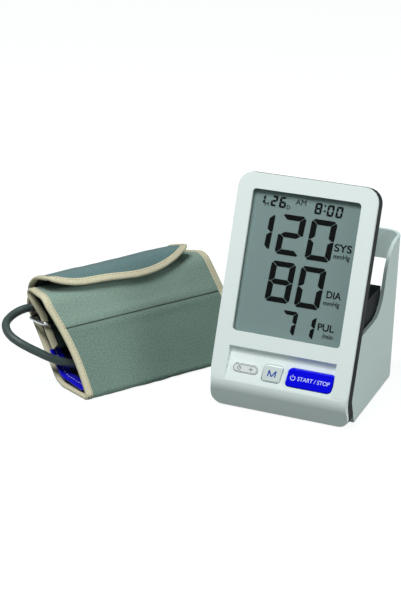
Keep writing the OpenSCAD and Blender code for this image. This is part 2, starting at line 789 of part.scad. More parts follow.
// The same line moved sideways by an offset, towards the inside of the fold when positive
function beside(line, off) = [for (i = [0:len(line) - 1])
    let (d = flat_dir(line[max(i - 1, 0)], line[min(i + 1, len(line) - 1)]))
    line[i] + off * [0, d.z, -d.y]];

function quad(a, b, c, d) = [[a, b, c], [a, c, d]];

// A sheet between two offsets of the strip's line, from station to station
module sheet(first, last, off0, off1, places, ends = [0, 1]) {
    lines = [for (t = places) let (l = strip_line(t, first, last, ends))
        concat(beside(l, off0), beside(l, off1))];
    n = len(lines[0]) / 2;
    m = len(places) - 1;
    polyhedron(
        points = [for (l = lines) each l],
        faces = concat(
            [for (j = [0:m - 1], i = [0:n - 2]) each let (a = 2 * n * j + i)
                quad(a, a + 1, a + 2 * n + 1, a + 2 * n)],
            [for (j = [0:m - 1], i = [0:n - 2]) each let (a = 2 * n * j + n + i)
                quad(a, a + 2 * n, a + 2 * n + 1, a + 1)],
            [for (j = [0:m - 1]) each let (a = 2 * n * j) quad(a, a + 2 * n, a + 3 * n, a + n)],
            [for (j = [0:m - 1]) each let (a = 2 * n * j + n - 1)
                quad(a, a + n, a + 3 * n, a + 2 * n)],
            [for (i = [0:n - 2]) each quad(i, i + n, i + n + 1, i + 1)],
            [for (i = [0:n - 2]) each let (a = 2 * n * m + i) quad(a, a + 1, a + n + 1, a + n)]
        ),
        convexity = 10
    );
}

edge = binding_w / cuff_w;

module cuff_cover() {
    color([0.42, 0.5, 0.46]) on_cuff() sheet(0, len(strip) - 1, -cover_t / 2, cover_t / 2,
        [for (t = stations) mix(edge, 1 - edge, t)]);
}

module cuff_binding() {
    color([0.78, 0.75, 0.62]) on_cuff() {
        sheet(0, len(strip) - 1, -cover_t / 2 - 0.3, cover_t / 2 + 0.3, [0, edge]);
        sheet(0, len(strip) - 1, -cover_t / 2 - 0.3, cover_t / 2 + 0.3, [1 - edge, 1]);
    }
}

module cuff_bladder() {
    color([0.5, 0.52, 0.5]) on_cuff()
        sheet(3, 5, cover_t / 2 + fit, cover_t / 2 + fit + bladder_t,
              [for (t = stations) mix(0.06, 0.94, t)], [0.35, 0.7]);
}

module cuff_lining() {
    off = cover_t / 2 + 3 * fit + bladder_t;
    color([0.04, 0.02, 0.8]) on_cuff()
        sheet(3, 5, off, off + lining_t, [for (t = stations) mix(0.005, 0.995, t)], [0.35, 0.78]);
}

module cuff_hook_patch() {
    off = cover_t / 2 + 0.1;
    color([0.3, 0.33, 0.32]) on_cuff()
        sheet(1, 2, off, off + 0.8, [for (t = stations) mix(0.1, 0.9, t)], [0.25, 0.55]);
}

// The long metal loop that the strip is threaded through
module cuff_ring() {
    r = ring_wire / 2;
    corner = 4;
    long = ring_u1 - ring_u0;
    wide = norm(ring_back - ring_front);
    color(metal) on_cuff() translate([ring_u0, ring_front.x, ring_front.y])
        rotate([atan2(ring_back.y - ring_front.y, ring_back.x - ring_front.x), 0, 0]) {
        for (v = [0, wide])
        translate([corner, v, 0]) rotate([0, 90, 0]) cylinder(h = long - 2 * corner, r = r);
        for (u = [0, long])
        translate([u, corner, 0]) rotate([-90, 0, 0]) cylinder(h = wide - 2 * corner, r = r);
        for (c = [[corner, corner, 180], [long - corner, corner, 270],
                  [long - corner, wide - corner, 0],
                  [corner, wide - corner, 90]])
        translate([c[0], c[1], 0]) rotate([0, 0, c[2]]) rotate_extrude(angle = 90)
            translate([corner, 0]) circle(r = r);
    }
}

// The sewn tab that hangs the metal loop from the inside of the roll's back
module cuff_ring_loop() {
    hem_z = ring_back.y + ring_wire / 2 + 0.1;
    points = [for (t = [0.1, 0.84])
        let (l = beside(strip_line(t, 2, 3, [0.35, 0.55]), cover_t / 2 + 0.1), u = l[1].x)
        each [l[0], l[1], [u, ring_back.x + 0.6, hem_z], [u, ring_back.x - 0.6, hem_z]]];
    color([0.72, 0.69, 0.56]) on_cuff() polyhedron(
        points = points,
        faces = concat(
            [for (i = [0:3]) each quad(i, i + 4, (i + 1) % 4 + 4, (i + 1) % 4)],
            quad(0, 1, 2, 3), quad(4, 7, 6, 5)
        )
    );
}

module hose_nipple() {
    color([0.2, 0.2, 0.2]) on_cuff() translate(nipple_at) rotate([0, 90, 0]) cylinder(h = 10, r = 3.4);
}

// A round tube along a route
function side_dirs(d) = let (s = cross([0, 0, 1], d), a = norm(s) > 0.01 ? s / norm(s) : [1, 0, 0])
    [a, cross(d, a)];

module tube(route, r, sides = 10) {
    n = len(route);
    rings = [for (i = [0:n - 1])
        let (v = route[min(i + 1, n - 1)] - route[max(i - 1, 0)], f = side_dirs(v / norm(v)))
        for (k = [0:sides - 1]) route[i] + r * (f[0] * cos(360 * k / sides) + f[1] * sin(360 * k / sides))];
    polyhedron(
        points = concat(rings, [route[0], route[n - 1]]),
        faces = concat(
            [for (i = [0:n - 2], k = [0:sides - 1]) each
                quad(i * sides + k, (i + 1) * sides + k,
                     (i + 1) * sides + (k + 1) % sides, i * sides + (k + 1) % sides)],
            [for (k = [0:sides - 1]) [n * sides, k, (k + 1) % sides]],
            [for (k = [0:sides - 1]) [n * sides + 1, (n - 1) * sides + (k + 1) % sides,
                                      (n - 1) * sides + k]]
        ),
        convexity = 10
    );
}

module air_hose() {
    color([0.24, 0.3, 0.3]) on_cuff() tube(hose_route, hose_d / 2);
}

module air_plug() {
    color([0.2, 0.22, 0.22]) on_cuff() translate(plug_at) rotate([0, -90, 0]) {
        cylinder(h = 14, r = 5);
        translate([0, 0, 14]) cylinder(h = plug_tip, r = socket_bore / 2 - 0.1);
    }
}

front_housing();
rear_housing();
storage_stand();
display_lens();
display_panel();
display_frame();
display_connector();
main_board();
board_chips();
key_switches();
start_stop_button();
memory_button();
clock_rocker();
pump_motor();
pump_head();
pump_mount();
air_manifold();
release_valve();
bleed_valve();
pressure_sensor();
air_line();
air_socket();
power_socket();
buzzer();
battery_cover();
batteries();
battery_springs();
battery_contacts();
housing_screws();
board_screws();
stand_screws();
rubber_feet();
cuff_cover();
cuff_binding();
cuff_bladder();
cuff_lining();
cuff_hook_patch();
cuff_ring();
cuff_ring_loop();
hose_nipple();
air_hose();
air_plug();
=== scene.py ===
"""Desktop blood pressure monitor with its storage stand, folded arm cuff, air hose and plug."""
import math
from bisect import bisect_right

import bmesh
import bpy
from mathutils import Matrix, Vector, noise


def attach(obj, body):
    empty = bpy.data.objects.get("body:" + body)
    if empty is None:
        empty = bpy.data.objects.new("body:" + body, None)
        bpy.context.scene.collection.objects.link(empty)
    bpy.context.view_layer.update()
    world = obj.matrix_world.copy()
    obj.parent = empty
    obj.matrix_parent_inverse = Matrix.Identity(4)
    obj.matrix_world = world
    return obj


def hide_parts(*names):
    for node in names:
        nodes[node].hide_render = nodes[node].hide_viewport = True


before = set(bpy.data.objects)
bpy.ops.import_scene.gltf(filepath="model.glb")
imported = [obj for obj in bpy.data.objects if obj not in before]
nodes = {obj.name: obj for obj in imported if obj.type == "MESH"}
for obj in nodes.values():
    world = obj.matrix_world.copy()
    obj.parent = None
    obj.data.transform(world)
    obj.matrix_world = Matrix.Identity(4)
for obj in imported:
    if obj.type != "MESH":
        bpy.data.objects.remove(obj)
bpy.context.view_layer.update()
scene = bpy.context.scene
MM = 0.001  # a millimetre in metres

# -------- camera
# Solved from the face's corners, the display and the stand's rim in the photograph.
EYE = Vector((0.3655, -1.0630, 0.5328))
AIM = Vector((-0.0600, -0.0690, 0.0914))
LENS, SENSOR, ROLL = 93.33, 36.0, 0.013219


def make_camera():
    """The photograph's camera."""
    data = bpy.data.cameras.new("photo_camera")
    data.lens, data.sensor_width = LENS, SENSOR
    data.clip_start, data.clip_end = 0.05, 30
    camera = bpy.data.objects.new("photo_camera", data)
    scene.collection.objects.link(camera)
    look = (AIM - EYE).to_track_quat("-Z", "Y").to_matrix().to_4x4()
    camera.matrix_world = Matrix.Translation(EYE) @ look @ Matrix.Rotation(ROLL, 4, "Z")
    scene.camera = camera


make_camera()

# -------- frames of the face and the cuff
TABLE_LINE = -69.0  # where the face's plane meets the table
FACE_TILT = 20.0
CUFF_AT = (-144.8, TABLE_LINE - 17.5, 0)
CUFF_TURN = 58.0
# the face's frame in mm: across, square into the case, up along the face
FACE = (Matrix.Scale(MM, 4) @ Matrix.Translation((0, TABLE_LINE, 0))
        @ Matrix.Rotation(-math.radians(FACE_TILT), 4, "X"))
# the cuff's frame in mm: along the roll, back, up
CUFF = (Matrix.Scale(MM, 4) @ Matrix.Translation(CUFF_AT)
        @ Matrix.Rotation(math.radians(CUFF_TURN), 4, "Z"))


def on_cuff(u, back, up):
    """A point in the cuff's frame, in mm: along the roll, back, up."""
    return CUFF @ Vector((u, back, up))


# -------- air hose
HOSE_D = 6.8
# in the cuff's frame: from the nipple round the visible loop, through the roll and back to the plug
HOSE_ROUTE = [
    (-4, 85, 49), (-11, 85, 49), (-18, 85.2, 47.4), (-25, 83, 45.5), (-31, 78.3, 43.8),
    (-34.3, 71.9, 41.6), (-35, 64.5, 39), (-33, 57.5, 36.4), (-28, 50.7, 32.7),
    (-20.3, 45.4, 27.7), (-12.2, 41.2, 22.7), (-5.1, 37.5, 19.4), (2, 34, 17.1),
    (12, 30, 15.2), (26, 26, 13), (42, 23, 11.2),
    (60, 21.5, 10.4), (78, 21, 10.2), (94, 21, 10.2), (106, 21, 10.2), (116.4, 22.3, 11.8),
    (125.3, 26.1, 16.3), (131.2, 31.8, 23.1), (133.2, 38.5, 31.1), (131.2, 45.2, 39.1),
    (125.3, 50.9, 45.9), (116.4, 54.7, 50.4), (106, 56, 52), (92, 56, 52), (78, 56, 52),
    (64, 56, 52), (52, 56, 52), (44, 56, 52), (38, 56, 52)]


def bezier_tube(name, places, radius, closed=False, sides=7):
    """A round tube through the places, as a curve of one smooth spline."""
    curve = bpy.data.curves.new(name, "CURVE")
    curve.dimensions = "3D"
    curve.bevel_depth = radius * MM
    curve.bevel_resolution = sides
    curve.resolution_u = 8
    curve.use_fill_caps = True
    spline = curve.splines.new("BEZIER")
    spline.bezier_points.add(len(places) - 1)
    spline.use_cyclic_u = closed
    for point, place in zip(spline.bezier_points, places):
        point.co = place
        point.handle_left_type = point.handle_right_type = "AUTO"
    tube = bpy.data.objects.new(name, curve)
    scene.collection.objects.link(tube)
    return tube


hose = bezier_tube("hose", [on_cuff(*p) for p in HOSE_ROUTE], HOSE_D / 2)


# -------- material kit
def rgb(red, green, blue):
    """A colour as it is seen on a screen, 0 to 255, for a shader's socket."""
    def linear(c):
        c /= 255
        return c / 12.92 if c <= 0.04045 else ((c + 0.055) / 1.055) ** 2.4
    return (linear(red), linear(green), linear(blue), 1.0)


def new_group(name, inputs, outputs):
    """A shader node group with its sockets. Gives the group, its input and its output node."""
    group = bpy.data.node_groups.new(name, "ShaderNodeTree")
    for label, kind, value in inputs:
        socket = group.interface.new_socket(label, in_out="INPUT", socket_type="NodeSocket" + kind)
        if value is not None:
            socket.default_value = value
    for label, kind in outputs:
        group.interface.new_socket(label, in_out="OUTPUT", socket_type="NodeSocket" + kind)
    return group, group.nodes.new("NodeGroupInput"), group.nodes.new("NodeGroupOutput")


def feed(tree, node, values):
    """Gives each named or numbered socket of a node its constant, or the output that drives it."""
    for key, value in values.items():
        if isinstance(value, bpy.types.NodeSocket):
            tree.links.new(value, node.inputs[key])
        else:
            node.inputs[key].default_value = value


def maths(tree, operation, a, b=None, c=None):
    """A Math node whose operands are numbers or sockets."""
    node = tree.nodes.new("ShaderNodeMath")
    node.operation = operation
    feed(tree, node, {k: value for k, value in enumerate((a, b, c)) if value is not None})
    return node.outputs[0]


def blend_colour(tree, factor, a, b):
    """Mixes two colours by a factor, each given as a value or a socket."""
    node = tree.nodes.new("ShaderNodeMix")
    node.data_type = "RGBA"
    feed(tree, node, {0: factor, 6: a, 7: b})
    return node.outputs[2]


def noise_at(tree, vector, scale, detail=2.0, rough=0.5):
    """A Noise texture's value at a vector."""
    node = tree.nodes.new("ShaderNodeTexNoise")
    feed(tree, node, {"Detail": detail, "Roughness": rough, "Vector": vector, "Scale": scale})
    return node.outputs[0]


def build_moulded():
    """Fine spark-eroded grain of a moulded plastic, with a faint cloud in its colour and gloss."""
    group, given, out = new_group(
        "moulded_surface",
        [("Place", "Vector", None), ("Colour", "Color", (0.8, 0.8, 0.8, 1)),
         ("Cloud", "Float", 0.03), ("Roughness", "Float", 0.4), ("Grain Scale", "Float", 900.0)],
        [("Colour", "Color"), ("Roughness", "Float"), ("Height", "Float")])
    cloud = noise_at(group, given.outputs["Place"], 30.0, 3)
    grain = noise_at(group, given.outputs["Place"], given.outputs["Grain Scale"], 1)
    swing = maths(group, "MULTIPLY", maths(group, "SUBTRACT", cloud, 0.5), given.outputs["Cloud"])
    hue = group.nodes.new("ShaderNodeHueSaturation")
    value = maths(group, "ADD", 1.0, swing)
    feed(group, hue, {"Color": given.outputs["Colour"], "Value": value})
    rough = maths(group, "ADD", given.outputs["Roughness"], maths(group, "MULTIPLY", swing, 2.0))
    feed(group, out, {"Colour": hue.outputs[0], "Roughness": rough, "Height": grain})
    return group


def build_weave():
    """Plain weave on UVs in millimetres: thread height, a mask of the dark gaps, and slubs."""
    group, given, out = new_group(
        "plain_weave",
        [("Cloth UV", "Vector", None), ("Thread", "Float", 0.9), ("Slub Scale", "Float", 0.75)],
        [("Height", "Float"), ("Gap", "Float"), ("Slub", "Float")])
    split = group.nodes.new("ShaderNodeSeparateXYZ")
    feed(group, split, {0: given.outputs["Cloth UV"]})
    turns = maths(group, "DIVIDE", math.pi, given.outputs["Thread"])
    warp = maths(group, "MULTIPLY", split.outputs[0], turns)
    weft = maths(group, "MULTIPLY", split.outputs[1], turns)
    over = maths(group, "MULTIPLY", maths(group, "SINE", warp), maths(group, "SINE", weft))
    up = maths(group, "ABSOLUTE", maths(group, "SINE", warp))
    across = maths(group, "ABSOLUTE", maths(group, "SINE", weft))
    crown = maths(group, "MULTIPLY", up, across)
    height = maths(group, "ADD", crown, maths(group, "MULTIPLY", over, 0.35))
    slub = noise_at(group, given.outputs["Cloth UV"], given.outputs["Slub Scale"], 2, 0.6)
    feed(group, out, {"Height": height, "Gap": maths(group, "SUBTRACT", 1.0, crown), "Slub": slub})
    return group


MOULDED = build_moulded()
WEAVE = build_weave()


def start_material(name):
    """A new material, its node tree, its Principled shader and its texture coordinates."""
    material = bpy.data.materials.new(name)
    material.use_nodes = True
    tree = material.node_tree
    shader = tree.nodes["Principled BSDF"]
    places = tree.nodes.new("ShaderNodeTexCoord")
    return material, tree, shader, places


def add_bump(tree, shader, height, strength, distance):
    bump = tree.nodes.new("ShaderNodeBump")
    feed(tree, bump, {"Strength": strength, "Distance": distance, "Height": height})
    feed(tree, shader, {"Normal": bump.outputs[0]})


def moulded(name, colour, roughness=0.4, cloud=0.04, grain=900.0, bump=0.12, metallic=0.0,
            coat=0.0, shine=0.5):
    """Moulded plastic, rubber, print or metal with the moulded surface's grain."""
    material, tree, shader, places = start_material(name)
    group = tree.nodes.new("ShaderNodeGroup")
    group.node_tree = MOULDED
    feed(tree, group, {"Place": places.outputs["Object"], "Colour": rgb(*colour),
                       "Cloud": cloud, "Roughness": roughness, "Grain Scale": grain})
    feed(tree, shader, {"Base Color": group.outputs["Colour"], "Metallic": metallic,
                        "Roughness": group.outputs["Roughness"], "Specular IOR Level": shine,
                        "Coat Weight": coat, "Coat Roughness": 0.15})
    add_bump(tree, shader, group.outputs["Height"], bump, 0.0002)
    return material


GAP_SHARE, SLUB_SHARE = 0.35, 0.65  # what darkens a cloth: gaps between threads, and slubs


def woven(name, light, dark, thread, slub=0.75, bump=0.5, roughness=0.85, sheen=0.15,
          zones=(), inside_shade=None):
    """Cloth whose threads follow the piece's own UV map. A zone is a colour that takes over
    where the piece's UV height lies between two values, and a dark colour of painted shade takes
    over beyond a UV width."""
    material, tree, shader, places = start_material(name)
    group = tree.nodes.new("ShaderNodeGroup")
    group.node_tree = WEAVE
    feed(tree, group, {"Cloth UV": places.outputs["UV"], "Thread": thread, "Slub Scale": slub})
    ramp = tree.nodes.new("ShaderNodeMapRange")
    feed(tree, ramp, {"From Min": 0.3, "From Max": 0.7, "Value": group.outputs["Slub"]})
    speckle = maths(tree, "MULTIPLY_ADD", group.outputs["Gap"], GAP_SHARE,
                    maths(tree, "MULTIPLY", ramp.outputs[0], SLUB_SHARE))
    colour = blend_colour(tree, speckle, light, dark)
    split = tree.nodes.new("ShaderNodeSeparateXYZ")
    feed(tree, split, {0: places.outputs["UV"]})
    for low, high, pale, deep in zones:
        other = blend_colour(tree, speckle, pale, deep)
        rise = maths(tree, "SUBTRACT", split.outputs[1], low)
        fall = maths(tree, "SUBTRACT", high, split.outputs[1])
        step = tree.nodes.new("ShaderNodeClamp")
        inside = maths(tree, "MINIMUM", rise, fall)
        feed(tree, step, {0: maths(tree, "ADD", inside, 0.5)})
        colour = blend_colour(tree, step.outputs[0], colour, other)
    # Past the given width across, the cloth is painted a dark colour that stands in for shade.
    if inside_shade:
        step = tree.nodes.new("ShaderNodeClamp")
        feed(tree, step, {0: maths(tree, "SUBTRACT", split.outputs[0], inside_shade[0])})
        colour = blend_colour(tree, step.outputs[0], colour, inside_shade[1])
    feed(tree, shader, {"Base Color": colour, "Roughness": roughness, "Sheen Weight": sheen,
                        "Specular IOR Level": 0.3})
    height = maths(tree, "MULTIPLY_ADD", group.outputs["Slub"], 1.2, group.outputs["Height"])
    add_bump(tree, shader, height, bump, 0.0003)
    return material


WHITE_CASE = moulded("white_case", (228, 238, 236), 0.32, 0.02, 1400, 0.05, coat=0.15)
BLACK_CASE = moulded("black_case", (21, 25, 29), 0.55, 0.2, 1100, 0.15, shine=0.05)
STAND_GREY = moulded("stand_grey", (190, 209, 206), 0.45, 0.03, 1100, 0.12)
PANEL_GLASS = moulded("display_glass", (128, 151, 149), 0.55, 0.02, 300, 0.0)
INK = moulded("display_ink", (10, 12, 13), 0.8, 0.05, 800, 0.0, shine=0.05)
THIN_INK = moulded("display_words", (20, 26, 27), 0.8, 0.05, 800, 0.0, shine=0.05)
BLUE_BUTTON = moulded("blue_button", (5, 5, 232), 0.35, 0.05, 1200, 0.05, shine=0.12)
PRINT_WHITE = moulded("white_print", (205, 212, 255), 0.5, 0.02, 900, 0.0)
PALE_BUTTON = moulded("pale_button", (214, 224, 223), 0.35, 0.03, 1200, 0.05, coat=0.2)
PRINT_BLUE = moulded("blue_print", (44, 84, 170), 0.5, 0.02, 900, 0.0)
WHITE_KEY = moulded("white_key", (228, 233, 234), 0.35, 0.02, 1200, 0.05, coat=0.1)
PRINT_GREY = moulded("grey_print", (78, 86, 90), 0.5, 0.02, 900, 0.0)
PALE_PLASTIC = moulded("inner_plastic", (214, 214, 206), 0.45, 0.05, 900, 0.1)
DARK_PLASTIC = moulded("dark_inner", (44, 46, 48), 0.45, 0.15, 900, 0.15)
BOARD_GREEN = moulded("board", (24, 92, 52), 0.4, 0.3, 260, 0.1, coat=0.3)
CHIP_BLACK = moulded("chip", (36, 36, 40), 0.5, 0.15, 700, 0.1)
ZEBRA_PINK = moulded("zebra_strip", (214, 150, 150), 0.6, 0.2, 600, 0.1)
PLATED = moulded("plated_steel", (196, 198, 202), 0.2, 0.1, 500, 0.03, metallic=1.0)
BRUSHED = moulded("motor_can", (176, 178, 182), 0.32, 0.2, 700, 0.1, metallic=1.0)
RUBBER = moulded("black_rubber", (38, 38, 38), 0.8, 0.25, 700, 0.3)
SOFT_TUBE = moulded("clear_grey_tube", (176, 178, 170), 0.35, 0.1, 500, 0.05)
HOSE_SKIN = moulded("hose_skin", (64, 78, 76), 0.42, 0.1, 700, 0.08, shine=0.35)
CELL_WRAP = moulded("cell_wrap", (196, 132, 62), 0.3, 0.1, 400, 0.05, coat=0.4)
CELL_DARK = moulded("cell_dark", (34, 34, 38), 0.3, 0.1, 400, 0.05, coat=0.4)
BLADDER_SHEET = moulded("bladder_sheet", (120, 126, 120), 0.5, 0.15, 400, 0.2)
THREAD_WHITE = moulded("white_thread", (226, 226, 236), 0.7, 0.1, 2000, 0.2)
THREAD_TAN = moulded("tan_thread", (134, 124, 96), 0.8, 0.15, 2000, 0.2)
THREAD_DARK = moulded("dark_thread", (34, 44, 40), 0.8, 0.15, 2000, 0.2)


# -------- mesh kit
def add_object(name, bm, *materials):
    """Closes a bmesh into an object at the origin."""
    mesh = bpy.data.meshes.new(name)
    bm.to_mesh(mesh)
    bm.free()
    for material in materials:
        mesh.materials.append(material)
    made = bpy.data.objects.new(name, mesh)
    scene.collection.objects.link(made)
    return made


def piece(name, bm, material, body, node=None, smooth=35.0, extra=()):
    """A finished piece with its material, its body and its CAD node, sharp above an angle."""
    sharp = math.radians(smooth)
    for face in bm.faces:
        face.smooth = True
    for edge in bm.edges:
        edge.smooth = not (len(edge.link_faces) == 2 and edge.calc_face_angle(0) > sharp)
    made = add_object(name, bm, material, *extra)
    settle(made, body, node)
    return made


def settle(made, body, node=None):
    """Says which body carries a piece, and hides the CAD node it replaces."""
    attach(made, body)
    if node:
        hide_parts(node)


def keep_flat(made):
    """Lets the big flat faces shade flat between their rounded edges."""
    weigh = made.modifiers.new("weigh", "WEIGHTED_NORMAL")
    weigh.keep_sharp = True
    weigh.weight = 80


HARD_ANGLE, EDGE_SEGMENTS, WELD = 28.0, 3, 2e-6


def softened(node, name, material, body, radius, reshape=None):
    """A CAD node's own shape, cleaned of its loose triangles, with its hard edges rounded."""
    bm = bmesh.new()
    bm.from_mesh(nodes[node].data)
    bmesh.ops.remove_doubles(bm, verts=bm.verts, dist=WELD)
    bmesh.ops.dissolve_limit(bm, angle_limit=math.radians(0.6), verts=bm.verts, edges=bm.edges)
    if reshape:
        reshape(bm)
    limit = math.radians(HARD_ANGLE)
    hard = [e for e in bm.edges if len(e.link_faces) == 2 and e.calc_face_angle(0) > limit]
    bmesh.ops.bevel(bm, geom=hard, offset=radius * MM, offset_type="OFFSET",
                    segments=EDGE_SEGMENTS, profile=0.5, affect="EDGES", clamp_overlap=True,
                    material=-1)
    bmesh.ops.remove_doubles(bm, verts=bm.verts, dist=WELD)
    keep_flat(piece(name, bm, material, body, node, smooth=40))


def grid_piece(bm, across, along, place, uv):
    """A grid from the create operator, with every point moved to where place(i, j) puts it and
    its UV to uv(i, j). i and j run from 0 to 1."""
    made = bmesh.ops.create_grid(bm, x_segments=across, y_segments=along, size=1.0)
    where = {v: ((v.co.x + 1) / 2, (v.co.y + 1) / 2) for v in made["verts"]}
    layer = bm.loops.layers.uv.verify()
    for vert, (i, j) in where.items():
        vert.co = place(i, j)
    for face in bm.faces:
        for loop in face.loops:
            loop[layer].uv = uv(*where[loop.vert])


def lathe(bm, profile, matrix, steps=32):
    """Spins a profile of (radius, height) in mm round the local Z axis."""
    verts = [bm.verts.new((r, 0, z)) for r, z in profile]
    edges = [bm.edges.new(pair) for pair in zip(verts, verts[1:])]
    bmesh.ops.spin(bm, geom=verts + edges, cent=(0, 0, 0), axis=(0, 0, 1), angle=2 * math.pi,
                   steps=steps, use_merge=True)
    bmesh.ops.remove_doubles(bm, verts=bm.verts, dist=1e-4)
    bmesh.ops.recalc_face_normals(bm, faces=bm.faces)
    bmesh.ops.transform(bm, matrix=matrix, verts=bm.verts)


def slab(bm, outline, low, high, matrix=None, edge=0.0, segments=2):
    """A flat outline pushed out from one height to another, with its upper edge rounded."""
    verts = [bm.verts.new((x, y, low)) for x, y in outline]
    face = bm.faces.new(verts)
    pushed = bmesh.ops.extrude_face_region(bm, geom=[face])
    top = [g for g in pushed["geom"] if isinstance(g, bmesh.types.BMVert)]
    bmesh.ops.translate(bm, verts=top, vec=(0, 0, high - low))
    every = verts + top
    if edge:
        rim = {e for v in top for e in v.link_edges if all(w in top for w in e.verts)}
        cut = bmesh.ops.bevel(bm, geom=list(rim), offset=edge, offset_type="OFFSET",
                              segments=segments, profile=0.5, affect="EDGES", material=-1)
        every = list({v for v in every if v.is_valid} | set(cut["verts"]))
    if matrix is not None:
        bmesh.ops.transform(bm, matrix=matrix, verts=every)
    return every


def round_box(x0, x1, y0, y1, r, steps=5, slant=0.0, mid=0.0):
    """A rectangle's outline with round corners. It leans by slant round the height mid."""
    points = []
    for cx, cy, start in ((x1 - r, y1 - r, 0), (x0 + r, y1 - r, 90), (x0 + r, y0 + r, 180),
                          (x1 - r, y0 + r, 270)):
        for i in range(steps + 1):
            a = math.radians(start + 90 * i / steps)
            points.append((cx + r * math.cos(a), cy + r * math.sin(a)))
    return [(x + slant * (y - mid), y) for x, y in points]


# turns a flat drawing (x, s, height above the face) into the face's frame
PRINT = FACE @ Matrix(((1, 0, 0, 0), (0, 0, -1, 0), (0, 1, 0, 0), (0, 0, 0, 1)))
PRINT_T = 0.05  # thickness of every print


def word(bm, text, x0, x1, s0, s1, front, shear=0.0, weight=0.0):
    """Lettering fitted into a box on the face, as thin raised ink. Its back is at front."""
    curve = bpy.data.curves.new("lettering", "FONT")
    curve.body = text
    curve.shear = shear
    curve.offset = weight
    holder = bpy.data.objects.new("lettering", curve)
    mesh = bpy.data.meshes.new_from_object(holder)
    part = bmesh.new()
    part.from_mesh(mesh)
    bpy.data.objects.remove(holder)
    bpy.data.curves.remove(curve)
    bmesh.ops.remove_doubles(part, verts=part.verts, dist=1e-5)
    xs = [v.co.x for v in part.verts]
    ys = [v.co.y for v in part.verts]
    fit = Matrix.Diagonal(((x1 - x0) / (max(xs) - min(xs)), (s1 - s0) / (max(ys) - min(ys)), 1, 1))
    move = Matrix.Translation((x0, s0, 0)) @ fit @ Matrix.Translation((-min(xs), -min(ys), 0))
    bmesh.ops.transform(part, matrix=move, verts=part.verts)
    pushed = bmesh.ops.extrude_face_region(part, geom=list(part.faces))
    top = [g for g in pushed["geom"] if isinstance(g, bmesh.types.BMVert)]
    bmesh.ops.translate(part, verts=top, vec=(0, 0, PRINT_T))
    bmesh.ops.recalc_face_normals(part, faces=part.faces)
    bmesh.ops.transform(part, matrix=PRINT @ Matrix.Translation((0, 0, front)), verts=part.verts)
    part.to_mesh(mesh)
    part.free()
    bm.from_mesh(mesh)
    bpy.data.meshes.remove(mesh)


# -------- monitor: housings and stand
# the sunk button field: half its width, upper edge, depth, and its upper wall's height
FIELD_SIDE, FIELD_TOP, FIELD_DEPTH, LIP = 43.2, 54.3, 3.4, 5.0
NEAR = 0.1


def hollow_lip(bm):
    """Gives the sunk field's upper wall a hollow curve in place of its two flats."""
    flat = FACE.inverted()

    def on_lip(vert):
        at = flat @ vert.co
        return (abs(at.x) < FIELD_SIDE + NEAR and -NEAR < at.y < FIELD_DEPTH + NEAR
                and FIELD_TOP - LIP - NEAR < at.z < FIELD_TOP + NEAR)

    ends = [e for e in bm.edges if all(on_lip(v) for v in e.verts)
            and abs((flat @ e.verts[0].co).x - (flat @ e.verts[1].co).x) < NEAR]
    bmesh.ops.subdivide_edges(bm, edges=ends, cuts=4, use_grid_fill=True)
    for vert in bm.verts:
        if on_lip(vert):
            at = flat @ vert.co
            share = min(max(1 - (FIELD_TOP - at.z) / LIP, 0), 1)
            at.y = FIELD_DEPTH * math.sqrt(1 - share ** 2)
            vert.co = FACE @ at


softened("front_housing", "face_shell", WHITE_CASE, "monitor", 0.45,
         reshape=hollow_lip)
softened("rear_housing", "back_shell", BLACK_CASE, "monitor", 0.35)
softened("storage_stand", "stand_wall", STAND_GREY, "monitor", 0.7)
softened("battery_cover", "battery_lid", BLACK_CASE, "battery_door", 0.25)
softened("rubber_feet", "foot_pads", RUBBER, "monitor", 0.4)
softened("air_socket", "air_port", DARK_PLASTIC, "monitor", 0.25)
softened("power_socket", "power_port", DARK_PLASTIC, "monitor", 0.25)

# -------- display
# depths under the face, and the lens's left, right, low, high and corner
LENS_N, LENS_T, PANEL_N = 2.2, 1.13, 3.7
INK_N, INK_T = PANEL_N - 0.12, 0.06
LENS_BOX = (-44.2, 44.2, 65.1, 176.3, 2.9)


def make_lens():
    """The clear window, which throws no shadow on the display."""
    material, tree, shader, places = start_material("clear_lens")
    feed(tree, shader, {"Base Color": (0.02, 0.022, 0.022, 1), "Roughness": 0.04, "Alpha": 0.07})
    smear = noise_at(tree, places.outputs["Object"], 40.0, 2)
    add_bump(tree, shader, smear, 0.02, 0.0002)
    bm = bmesh.new()
    front = -LENS_N - 0.02
    slab(bm, round_box(*LENS_BOX), front - LENS_T, front, PRINT, 0.2)
    lens = piece("window_lens", bm, material, "monitor", "display_lens")
    lens.visible_shadow = False


make_lens()

SEGMENTS = {"0": "abcdef", "1": "bc", "2": "abged", "6": "afgecd", "7": "abc", "8": "abcdefg"}


def segment_shapes(w, h, bar, post, gap):
    """The seven bars of one digit in its own box, with mitred ends and blunt outer corners."""
    mid, half, tip = h / 2, bar / 2, post * 0.4
    cut = bar / 2
    k = cut / 2
    lower = {
        "d": [(cut + gap, 0), (w - cut - gap, 0), (w - k - gap, k), (w - post - gap, bar),
              (post + gap, bar), (k + gap, k)],
        "e": [(0, mid - gap), (0, cut + gap), (k, k + gap), (post, bar + gap),
              (post, mid - half - gap), (tip, mid - gap)]}
    return {
        "a": [(x, h - y) for x, y in lower["d"]], "d": lower["d"], "e": lower["e"],
        "f": [(x, h - y) for x, y in lower["e"]], "c": [(w - x, y) for x, y in lower["e"]],
        "b": [(w - x, h - y) for x, y in lower["e"]],
        "g": [(tip + gap, mid), (post + gap, mid + half), (w - post - gap, mid + half),
              (w - tip - gap, mid), (w - post - gap, mid - half), (post + gap, mid - half)]}


